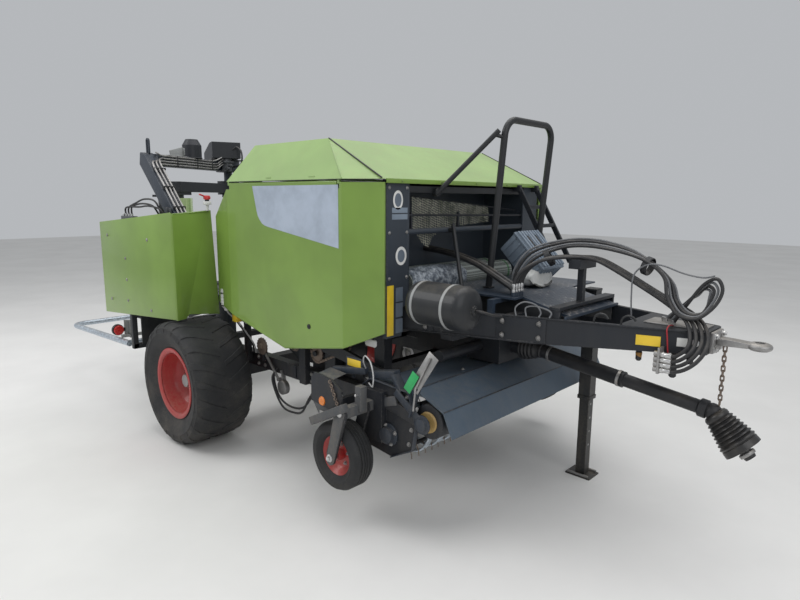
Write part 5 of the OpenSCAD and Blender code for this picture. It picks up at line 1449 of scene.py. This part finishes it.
def loose_hose(name, points, r, finish=hose_cover):
    """A free hose through the points."""
    path = smooth_path(points, 6)
    hose = finished([tube(path, r, 8, smooth=False)], name, finish)
    round(path_length(path), 3)


def slotted_eye(x, y, low, high, half, hole, thick):
    """Lifting eye: an upright bar with a long slot, rounded at its top."""
    middle = (low + high) / 2
    rings = []
    for a in around(40, 0.5):
        lift = 1 if sin(a) > 0 else -1
        ring = []
        for r, away in ((half, -thick), (half, thick), (hole, thick), (hole, -thick)):
            ring.append(at(x + r * cos(a), y + away, middle + lift * ((high - low) / 2 - half) + r * sin(a)))
        rings.append(ring)
    return soften(skin(rings, closed=True), 0.002)


def boom_piece():
    """Column, beam and head of the wrapper."""
    outline = [(-0.46, 1.15), (-0.18, 1.15), (-0.22, 1.95), (-0.775, 2.5), (-0.88, 2.53), (-0.905, 2.42), (-0.44, 1.98)]
    parts = [plate(side_view(outline), "Y", -1.21, -1.09, 0.008),
        block(at(-0.45, -1.20, 1.16), at(-0.19, -0.761, 1.224), 0.004),
        block(at(-0.44, -0.76, 0.7403), at(-0.20, -0.68, 1.23), 0.004),
        bar(on_beam(0, 0, 2.46), on_beam(1.2925, 0, 2.46), 0.116, 0.108, 0.010),
        turned([(0.0, 0.0), (0.124, 0.0), (0.13, 0.006), (0.13, 0.134), (0.124, 0.14), (0.0, 0.14)],
        at(ROTOR_X, 0, 2.4), Z, 48), rod(at(ROTOR_X, 0, 2.12), at(ROTOR_X, 0, 2.41), 0.045, 32),
        rod(at(ROTOR_X, 0, 2.12), at(ROTOR_X, 0, 2.1497), 0.075, 32, 0.003),
        slotted_eye(-0.83, -1.15, 2.50, 2.658, 0.030, 0.013, 0.008)]
    for y in (-1.213, -1.087):
        parts.append(plate(side_view([(-0.42, 1.23), (-0.22, 1.23), (-0.25, 1.80), (-0.40, 1.86)]), "Y", y - 0.003,
            y + 0.003))
    finished(parts, "boom_shell", slate_paint, node="wrap_boom")
    heads = [at(x, -1.216, z) for x in (-0.39, -0.26) for z in (1.30, 1.45, 1.60)]
    bolts("boom_bolts", heads, -Y, 0.024, 0.010)


TAP = (-0.02, -1.02)


def boom_pipes():
    """Pipes up the column and along the beam to the rotor's motor, with clamps, valves and hoses."""
    pipes = []
    for k in range(3):
        y, z = -1.185 + 0.035 * k, 2.424 + 0.026 * k
        pipes.append(tube([at(-0.152, y, 1.62), at(-0.158, y, 1.80), at(-0.185, y, 1.925), on_column(0.04, y, 0.021),
            on_column(0.45, y, 0.021), on_column(0.84, y, 0.021), on_beam(0.07, 0.074, z), on_beam(0.16, 0.070, z),
            on_beam(0.6, 0.070, z), on_beam(0.95, 0.070, z), on_beam(1.03, 0.085, z + 0.035),
            on_beam(1.10, 0.13, z + 0.08), at(-1.235 + 0.012 * k, -0.13 + 0.02 * k, 2.50)], 0.008, 10, 5))
    pipes.append(tube([on_beam(0.03, 0.05, 2.527), on_beam(0.0, 0.085, 2.52), on_beam(0.04, 0.088, 2.504),
        on_beam(0.16, 0.072, 2.502), on_beam(0.6, 0.070, 2.502), on_beam(0.90, 0.072, 2.502),
        on_beam(1.0, 0.12, 2.545)], 0.008, 10, 5))
    finished(pipes, "boom_pipes", worn_steel)
    clamps = [bar(on_beam(s, 0.066, 2.406), on_beam(s, 0.066, 2.512), 0.030, 0.022, 0.003, X)
        for s in (0.30, 0.62, 0.88)]
    clamps += [bar(on_column(t, -1.205, 0.020), on_column(t, -1.095, 0.020), 0.026, 0.022, 0.003)
        for t in (0.12, 0.44, 0.74)]
    finished(clamps, "pipe_clamps", black_plastic)
    motor = [rod(at(-1.215, -0.12, 2.40), at(-1.215, -0.12, 2.538), 0.052, 24, 0.004),
        block(at(-1.275, -0.18, 2.49), at(-1.155, -0.06, 2.512), 0.004),
        rod(at(-1.16, -0.12, 2.46), at(-1.10, -0.12, 2.46), 0.014, 12, 0.002),
        rod(at(-1.16, -0.15, 2.43), at(-1.11, -0.15, 2.43), 0.014, 12, 0.002),
        rod(at(-1.105, -0.575, 2.5145), at(-1.105, -0.575, 2.52), 0.102, 36)]
    motor += sprocket(at(ROTOR_X, 0, 2.531), 0.175, 0.008, Z, 36)
    finished(motor, "rotor_motor", grey_paint)
    bracket = [bar(on_beam(0.20, 0.03, 2.516), on_beam(0.50, 0.03, 2.516), 0.06, 0.006, 0.001),
        bar(on_beam(0.24, 0.045, 2.518), on_beam(0.44, 0.045, 2.565), 0.010, 0.09),
        bar(on_beam(0.44, 0.045, 2.53), on_beam(0.44, 0.045, 2.60), 0.010, 0.05, 0.002, X)]
    finished(bracket, "beam_bracket", pale_board)
    # foot of the column: valve, its fittings and short hoses
    valve = [block(at(-0.40, -1.236, 1.88), at(-0.24, -1.2105, 1.975), 0.004),
        block(at(-0.37, -1.232, 1.97), at(-0.335, -1.2105, 2.03)),
        rod(at(-0.29, -1.226, 1.97), at(-0.29, -1.226, 2.025), 0.012, 16, 0.002)]
    finished(valve, "boom_valve", grey_paint)
    unions = [rod(at(-0.12, y, 1.60), at(-0.155, y, 1.63), 0.013, 6, 0.001) for y in (-1.185, -1.15, -1.115)]
    unions += [rod(at(x, -1.234, z), at(x, -1.262, z), 0.012, 6, 0.001)
        for x, z in ((-0.38, 1.95), (-0.33, 1.91), (-0.27, 1.95))]
    unions += [rod(at(-0.75 - 0.06 * k, -1.372, 1.91), at(-0.75 - 0.06 * k, -1.372, 1.965), 0.012, 6, 0.001)
        for k in range(4)]
    finished(unions, "boom_unions", bright_steel)
    rear_valve = [block(at(-0.97, -1.387, 1.885), at(-0.71, -1.335, 1.945), 0.005),
        block(at(-0.90, -1.387, 1.80), at(-0.78, -1.345, 1.90))]
    finished(rear_valve, "guard_valve", grey_paint)
    for k, (x, lift) in enumerate(((-0.38, 0.07), (-0.33, 0.11), (-0.27, 0.05))):
        loose_hose(f"valve_hose_{k + 1}", [at(x, -1.237, 1.95 - 0.04 * (k == 1)), at(x - 0.01, -1.275, 1.955),
            at(x - 0.04, -1.32, 1.97 + lift), at(x - 0.18, -1.35, 1.99 + lift), at(x - 0.34, -1.36, 2.0 + lift * 0.6),
            at(-0.75 - 0.06 * k, -1.372, 2.02), at(-0.75 - 0.06 * k, -1.372, 1.95 - 0.006 * k)], 0.008)
    loose_hose("rotor_hose", [at(-1.135, -0.085, 2.63), at(-1.10, -0.06, 2.66), at(-1.03, -0.05, 2.62),
        at(-1.01, -0.05, 2.54), at(-1.05, -0.045, 2.475), at(-1.15, -0.04, 2.455), at(-1.255, -0.035, 2.455)], 0.009)
    tap = [rod(at(*TAP, 2.005), at(*TAP, 2.06), 0.012, 12), rod(at(*TAP, 2.055), at(*TAP, 2.085), 0.034, 24, 0.003)]
    finished(tap, "guard_tap", white_sheet)
    grip = [turned([(0.0, 0.0), (0.022, 0.0), (0.03, 0.008), (0.03, 0.022), (0.024, 0.034), (0.0, 0.036)],
        at(*TAP, 2.10), Z, 24), bar(at(*TAP, 2.12), at(-0.02, -1.09, 2.145), 0.02, 0.012, 0.004)]
    finished(grip, "guard_tap_grip", red_plastic)
    neck = [rod(at(*TAP, 2.08), at(*TAP, 2.105), 0.018, 16)]
    finished(neck, "guard_tap_neck", black_plastic)


def film_details():
    """Core plugs of the film rolls, and the grooved stretch rollers of each dispenser."""
    turn = Matrix.Translation(at(ROTOR_X, 0, 0)) @ Matrix.Rotation(radians(30), 4, "Z")
    plugs, rolls = [], []
    for s in (-1, 1):
        def q(x, y, z):
            return turn @ Vector((x, s * y, z))
        for z in (2.109, 1.359):
            plugs.append(turned([(0.0, 0.0), (0.055, 0.0), (0.06, 0.004), (0.06, 0.012), (0.0, 0.014)], q(0, 0.96, z),
                -Z, 24))
        for x, y in ((-0.195, 0.87), (-0.240, 0.915)):
            rolls.append(turned([(0.0275, 0.0)] + [(0.030 if k % 2 else 0.0282, 0.05 * k) for k in range(1, 16)] +
                [(0.0275, 0.80)], q(x, y, 1.315), Z, 24))
    finished(rolls, "stretch_rollers", bright_steel, "rotor")
    finished(plugs, "film_plugs", black_plastic, "rotor")


def table_details():
    """Belts over the table's two rollers, and the rollers' bearings."""
    belts = []
    for y in (-0.46, -0.23, 0.0, 0.23, 0.46):
        rings = []
        for a in around(64, 0.5):
            shift = 0.35 if cos(a) > 0 else -0.35
            ring = []
            for r, half in ((0.1105, 0.09), (0.1145, 0.087), (0.1145, -0.087), (0.1105, -0.09)):
                ring.append(at(TABLE_X + shift + r * cos(a), y + half, TABLE_Z + r * sin(a)))
            rings.append(ring)
        belts.append(skin(rings, closed=True))
    finished(belts, "table_belts", table_belt, "table")
    bearings = []
    for s in (-1, 1):
        for x in (-1.75, -1.05):
            bearings += [plate([(at(x, 0, 0).x + 0.05 * cos(a * pi / 2 + 0.785),
                TABLE_Z + 0.05 * sin(a * pi / 2 + 0.785)) for a in range(4)], "Y", s * 0.6502, s * 0.661)]
            bearings += nuts_at([at(x + i * 0.028, s * 0.661, TABLE_Z + j * 0.028) for i in (-1, 1) for j in (-1, 1)],
                s * Y, 0.014, 0.007)
    finished(bearings, "table_bearings", worn_steel, "table")


boom_piece()
boom_pipes()
film_details()
table_details()


# ---------------------------------------------------------------- drive side, chassis and chamber
CHAIN_Y = 0.755


def chain_drives():
    """Chain wheels and roller chains beside the bale chamber, on both sides' walls."""
    front = [(1.14, 0.90, 0.075), (1.46, 1.06, 0.085), (1.30, 1.38, 0.150), (1.12, 1.52, 0.050)]
    rear = [(0.50, 1.05, 0.075), (0.84, 0.93, 0.060), (0.88, 1.56, 0.070), (0.60, 1.72, 0.085)]
    for side, word in SIDES:
        for wheels, body, group in ((front, "machine", "front"), (rear, "gate", "rear")):
            discs, axles = [], []
            for x, z, r in wheels:
                discs += sprocket(at(x, side * CHAIN_Y, z), r - 0.004, 0.010, Y, max(12, int(r * 200)))
                axles += [rod(at(x, side * 0.64, z), at(x, side * 0.79, z), 0.022, 20, 0.002),
                    rod(at(x, side * 0.66, z), at(x, side * 0.685, z), 0.055, 24, 0.003)]
            finished(discs, f"chain_wheels_{group}_{word}", rusty_steel, body)
            finished(axles, f"chain_axles_{group}_{word}", dark_paint, body)
            finished(chain_run(wheels, side * CHAIN_Y, 0.034, 0.020), f"drive_chain_{group}_{word}", rusty_steel, body)


def chassis_details(side, word):
    """Bolts and plates on the chassis beam, and the chain wheel, link and hoses beside it."""
    face = side * 0.7605
    spots = [at(x, face, z) for x in (-1.75, -1.6, -0.55, -0.4, 0.3, 0.4, 1.06, 1.24, 1.74, 1.86) for z in (0.65, 0.71)]
    bolts(f"beam_bolts_{word}", spots, side * Y, 0.026, 0.010)
    plates = [block(at(x - 0.06, min(face, face + side * 0.008), 0.625),
        at(x + 0.06, max(face, face + side * 0.008), 0.735), 0.002) for x in (-1.2, 0.8)]
    plates += [bar(at(0.42, side * 0.775, 0.70), at(0.42, side * 0.775, 0.84), 0.05, 0.012, 0.002, X)]
    finished(plates, f"beam_plates_{word}", dark_paint)
    wheel = sprocket(at(0.42, side * 0.80, 0.835), 0.078, 0.014, Y, 16)
    finished(wheel, f"low_chain_wheel_{word}", rusty_steel)
    link = [bar(at(0.47, side * 0.80, 0.775), at(0.655, side * 0.80, 0.585), 0.016, 0.022, 0.003),
        bar(at(0.66, side * 0.762, 0.66), at(0.70, side * 0.762, 0.50), 0.04, 0.010, 0.002, X),
        rod(at(0.66, side * 0.765, 0.585), at(0.66, side * 0.815, 0.585), 0.016, 16, 0.002),
        rod(at(0.70, side * 0.758, 0.52), at(0.70, side * 0.806, 0.52), 0.062, 32, 0.006)]
    finished(link, f"low_link_{word}", worn_steel)
    for k, drop in ((1, 0.0), (2, 0.035)):
        y = side * (0.80 + 0.016 * k)
        loose_hose(f"low_hose_{word}_{k}", [at(0.60, side * 0.767, 0.66), at(0.61, y, 0.60), at(0.66, y, 0.47),
            at(0.76, y, 0.405 - drop), at(0.90, y, 0.395 - drop), at(1.02, y, 0.43 - drop), at(1.11, y, 0.52),
            at(1.14, side * 0.79, 0.61), at(1.14, side * 0.767, 0.66)], 0.009)


CANISTER = (0.21, -1.01)


def guard_gap_items():
    """Grease canister, yellow box and thin hoses on a post between the guard and the right door."""
    post = [bar(at(0.17, -0.785, 0.66), at(0.17, -0.785, 1.36), 0.05, 0.05, 0.004, X),
        bar(at(0.17, -0.80, 1.31), at(0.20, -0.965, 1.31), 0.03, 0.03, 0.003),
        bar(at(0.17, -0.80, 1.20), at(0.20, -0.965, 1.20), 0.03, 0.03, 0.003),
        bar(at(0.17, -0.80, 1.12), at(0.28, -0.93, 1.12), 0.03, 0.03, 0.003)]
    finished(post, "canister_post", dark_paint)
    shape = [(0.0, 1.155), (0.018, 1.155), (0.022, 1.175), (0.040, 1.19), (0.042, 1.215)]
    for k in range(4):
        z = 1.22 + 0.026 * k
        shape += [(0.042, z), (0.045, z + 0.004), (0.045, z + 0.018), (0.042, z + 0.022)]
    shape += [(0.044, 1.33), (0.040, 1.345), (0.0, 1.35)]
    can = turned(shape, at(*CANISTER, 0), Z, 36)
    finished([can], "grease_canister", white_sheet)
    bands = [turned([(0.0425, z), (0.0475, z), (0.0475, z + 0.010), (0.0425, z + 0.010)], at(*CANISTER, 0), Z, 36)
        for z in (1.196, 1.306)]
    bands += [rod(at(*CANISTER, 1.349), at(*CANISTER, 1.362), 0.030, 24, 0.003)]
    finished(bands, "canister_bands", black_plastic)
    box = [block(at(0.26, -0.99, 1.06), at(0.33, -0.93, 1.18), 0.008),
        rod(at(0.295, -0.96, 1.18), at(0.295, -0.96, 1.20), 0.018, 20, 0.003)]
    finished(box, "yellow_box", yellow_sheet)
    finished([rod(at(0.33, -0.95, 1.10), at(0.40, -0.95, 1.075), 0.014, 16, 0.002),
        rod(at(0.395, -0.95, 1.077), at(0.43, -0.95, 1.064), 0.010, 6)], "yellow_box_fitting", bright_steel)
    for k in (0, 1):
        fitting = finished([rod(at(0.20 + 0.02 * k, -1.01, 1.15), at(0.20 + 0.02 * k, -1.01, 1.168), 0.010, 6, 0.001)],
            f"grease_fitting_{k + 1}", bright_steel)
        loose_hose(f"grease_hose_{k + 1}", [at(0.20 + 0.02 * k, -1.01, 1.158), at(0.20 + 0.02 * k, -0.99, 1.12),
            at(0.20 + 0.03 * k, -0.92, 1.05), at(0.21 + 0.03 * k, -0.84, 0.93), at(0.24 + 0.03 * k, -0.785, 0.82),
            at(0.25 + 0.03 * k, -0.775, 0.745)][::-1], 0.007, white_cable if k else hose_cover)


CHAMBER_X, CHAMBER_Z = 0.98, 1.38


def on_drum(a, r, y):
    """A place at a distance from the bale chamber's axis."""
    return at(CHAMBER_X + cos(a) * r, y, CHAMBER_Z + sin(a) * r)


def chamber_details():
    """Ribs along and across the tailgate, and the rollers of the bale chamber."""
    def arc(start, end, r, y, half, steps):
        rings = []
        for k in range(steps + 1):
            a = radians(start + (end - start) * k / steps)
            rings.append([on_drum(a, r + dr, y + dy)
                for dr, dy in ((0, -half), (0.022, -half), (0.022, half), (0, half))])
        return skin(rings)
    ribs = [arc(95, 205, 0.6602, y, 0.022, 40) for y in (-0.60, -0.2, 0.2, 0.60)]
    finished(ribs, "tailgate_ribs", dark_paint, "gate")
    cross = []
    for a in map(radians, (112, 140, 168, 196)):
        cross.append(bar(on_drum(a, 0.672, -0.64), on_drum(a, 0.672, 0.64), 0.020, 0.05, 0.003, (cos(a), 0, sin(a))))
    finished(cross, "tailgate_cross_ribs", green_paint, "gate")
    shape = [(0.0, 0.0), (0.046, 0.0)]
    for k in range(24):
        start = 0.052 * k
        shape += [(0.046, start + 0.02), (0.050, start + 0.026), (0.050, start + 0.046), (0.046, start + 0.052)]
    shape += [(0.046, 1.27), (0.0, 1.27)]
    rollers = [turned(shape, on_drum(radians(a), 0.585, -0.635), Y, 20) for a in (30, 52, 74, -12)]
    finished(rollers, "chamber_rollers", worn_steel)


chain_drives()
both_sides(chassis_details)
guard_gap_items()
chamber_details()


# ---------------------------------------------------------------- platform and its loose hoses
def platform_details():
    """Skirts under the deck, the header's lining, pipes into the compartment and loose hoses to the hitch."""
    skirts = [plate(side_view([(2.10, 1.30), (3.05, 1.30), (3.05, 1.404), (2.745, 1.486), (2.10, 1.486)]), "Y",
        side * 0.325 - 0.003, side * 0.325 + 0.003, 0.001) for side in (-1, 1)]
    skirts.append(block(at(2.056, -0.699, 2.160), at(2.070, 0.699, 2.238), 0.002))
    finished(skirts, "deck_skirts", black_paint)
    for k in (0, 1):
        loose_hose(f"thick_pipe_{k + 1}", [at(2.67, -0.335 + 0.05 * k, 1.512), at(2.655, -0.33 + 0.05 * k, 1.545),
            at(2.57, -0.315 + 0.05 * k, 1.580), at(2.44, -0.275 + 0.05 * k, 1.622), at(2.28, -0.225 + 0.05 * k, 1.668),
            at(2.08, -0.17 + 0.05 * k, 1.702), at(1.88, -0.12 + 0.05 * k, 1.722), at(1.664, -0.08 + 0.05 * k, 1.735)],
            0.020)
    tangle = ((2660, -250, 1506), (2655, -245, 1600), (2720, -190, 1730), (2880, -120, 1812), (3050, -90, 1832),
        (3250, -90, 1812), (3420, -110, 1770), (3540, -130, 1690), (3575, -150, 1580), (3640, -165, 1490),
        (3740, -155, 1475), (3820, -135, 1550), (3850, -120, 1640), (3815, -105, 1700), (3750, -90, 1665),
        (3690, -80, 1580), (3630, -70, 1480), (3590, -60, 1412))
    apart = ((-30, 24, 0), (-32, 26, 12), (-26, 28, 18), (-12, 30, 15), (0, 28, 13), (6, 26, 7), (4, 24, -4),
        (10, 22, -12), (16, 20, -10), (18, 18, 2), (8, 18, 12), (-14, 18, 16), (-26, 18, -4), (-26, 18, -24),
        (-14, 18, -24), (-10, 18, -8), (-18, 20, -2), (-26, 22, 0))
    sleeves = []
    for k, (r, cover) in enumerate(((0.010, hose_cover), (0.0075, grey_hose), (0.010, hose_cover),
            (0.0075, grey_hose))):
        route = nth_way(tangle, apart, k)
        loose_hose(f"tangle_hose_{k + 1}", route, r, cover)
        sleeves += [rod(route[0] - 0.006 * Z, route[0] + 0.03 * Z, r * 1.4, 6),
            rod(route[-1] - 0.012 * Z, route[-1] + 0.02 * Z, r * 1.5, 6)]
    finished(sleeves, "tangle_fittings", bright_steel)
    loose_hose("arch_cable", [at(3.36, -0.10, 1.412), at(3.35, -0.10, 1.55), at(3.36, -0.11, 1.68),
        at(3.43, -0.12, 1.745), at(3.52, -0.12, 1.752), at(3.64, -0.11, 1.715), at(3.74, -0.10, 1.70),
        at(3.80, -0.10, 1.715)], 0.005, grey_hose)
    for k, x, dy in ((0, 2.79, 0.0), (1, 2.85, 0.022)):
        loose_hose(f"deck_cable_{k + 1}", [at(x, -0.482 + dy, 1.404), at(x - 0.01, -0.475 + dy, 1.455),
            at(x + 0.04, -0.456 + dy, 1.492 - dy), at(x + 0.11, -0.435 + dy, 1.478 - dy),
            at(x + 0.14, -0.425 + dy, 1.435), at(x + 0.13, -0.430 + dy, 1.404)], 0.005, grey_hose)
    loose_hose("tie_cord", [at(3.60, -0.08, 1.405), at(3.60, -0.15, 1.414), at(3.605, -0.196, 1.398),
        at(3.61, -0.197, 1.36), at(3.615, -0.196, 1.31), at(3.62, -0.194, 1.26)], 0.004, red_cord)
    wraps = [turned(mirrored([(0.052, -0.02), (0.056, -0.016)]), at(*p), d, 24)
        for p, d in (((2.80, -0.125, 1.742), (0.7, 0.35, 0.5)), ((3.42, -0.06, 1.735), (1, -0.1, -0.3)))]
    finished(wraps, "hose_wraps", black_plastic)


def markers(side, word):
    """White front marker under the pillar."""
    x, y, z = 1.943, side * 0.920, 1.154
    finished([plate(side_view([(x + u, z + w) for u, w in ((-0.046, -0.024), (0.040, -0.024), (0.050, -0.012),
        (0.050, 0.016), (0.040, 0.026), (-0.046, 0.026), (-0.056, 0.014), (-0.056, -0.012))]), "Y",
        min(y, y + side * 0.014), max(y, y + side * 0.014), 0.003)], f"front_marker_{word}", white_sheet)
    mounts = [bar(at(1.97, side * 0.914, 1.155), at(2.03, side * 0.88, 1.235), 0.03, 0.01)]
    finished(mounts, f"marker_mounts_{word}", dark_paint)


platform_details()
both_sides(markers)


# ---------------------------------------------------------------- floor and light
def studio():
    """Floor, sky and three soft lamps."""
    clear_selection()
    bpy.ops.mesh.primitive_plane_add(size=60, location=(0, 0, 0))
    floor = bpy.context.object
    floor.name = "floor"
    s = Shade("floor")
    cloud = s.noise(0.8, 4.0)
    lit = s.node("BsdfDiffuse", {}, {0: s.tint((0.78, 0.77, 0.75), 0.03, cloud)}, None)
    s.tree.links.new(lit.outputs[0], s.out.inputs[0])
    floor.data.materials.append(s.material)
    world = bpy.data.worlds.new("sky")
    bpy.context.scene.world = world
    world.use_nodes = True
    world.node_tree.nodes["Background"].inputs[0].default_value = (0.93, 0.96, 1.0, 1)
    world.node_tree.nodes["Background"].inputs[1].default_value = 0.5
    for name, place, power, size in (("sun_side", at(-4.0, -6.5, 7.5), 350, 5.0),
            ("front", at(8.0, -3.0, 5.5), 165, 6.0), ("top", at(1.0, 1.0, 8.0), 300, 7.0)):
        lamp = bpy.data.lights.new(name, "AREA")
        lamp.energy, lamp.size = power, size
        holder = bpy.data.objects.new(name, lamp)
        bpy.context.collection.objects.link(holder)
        holder.location = place
        holder.rotation_mode = "QUATERNION"
        holder.rotation_quaternion = (at(0.6, 0, 1.1) - place).to_track_quat("-Z", "Y")
    bpy.context.scene.view_settings.view_transform = "Standard"


studio()
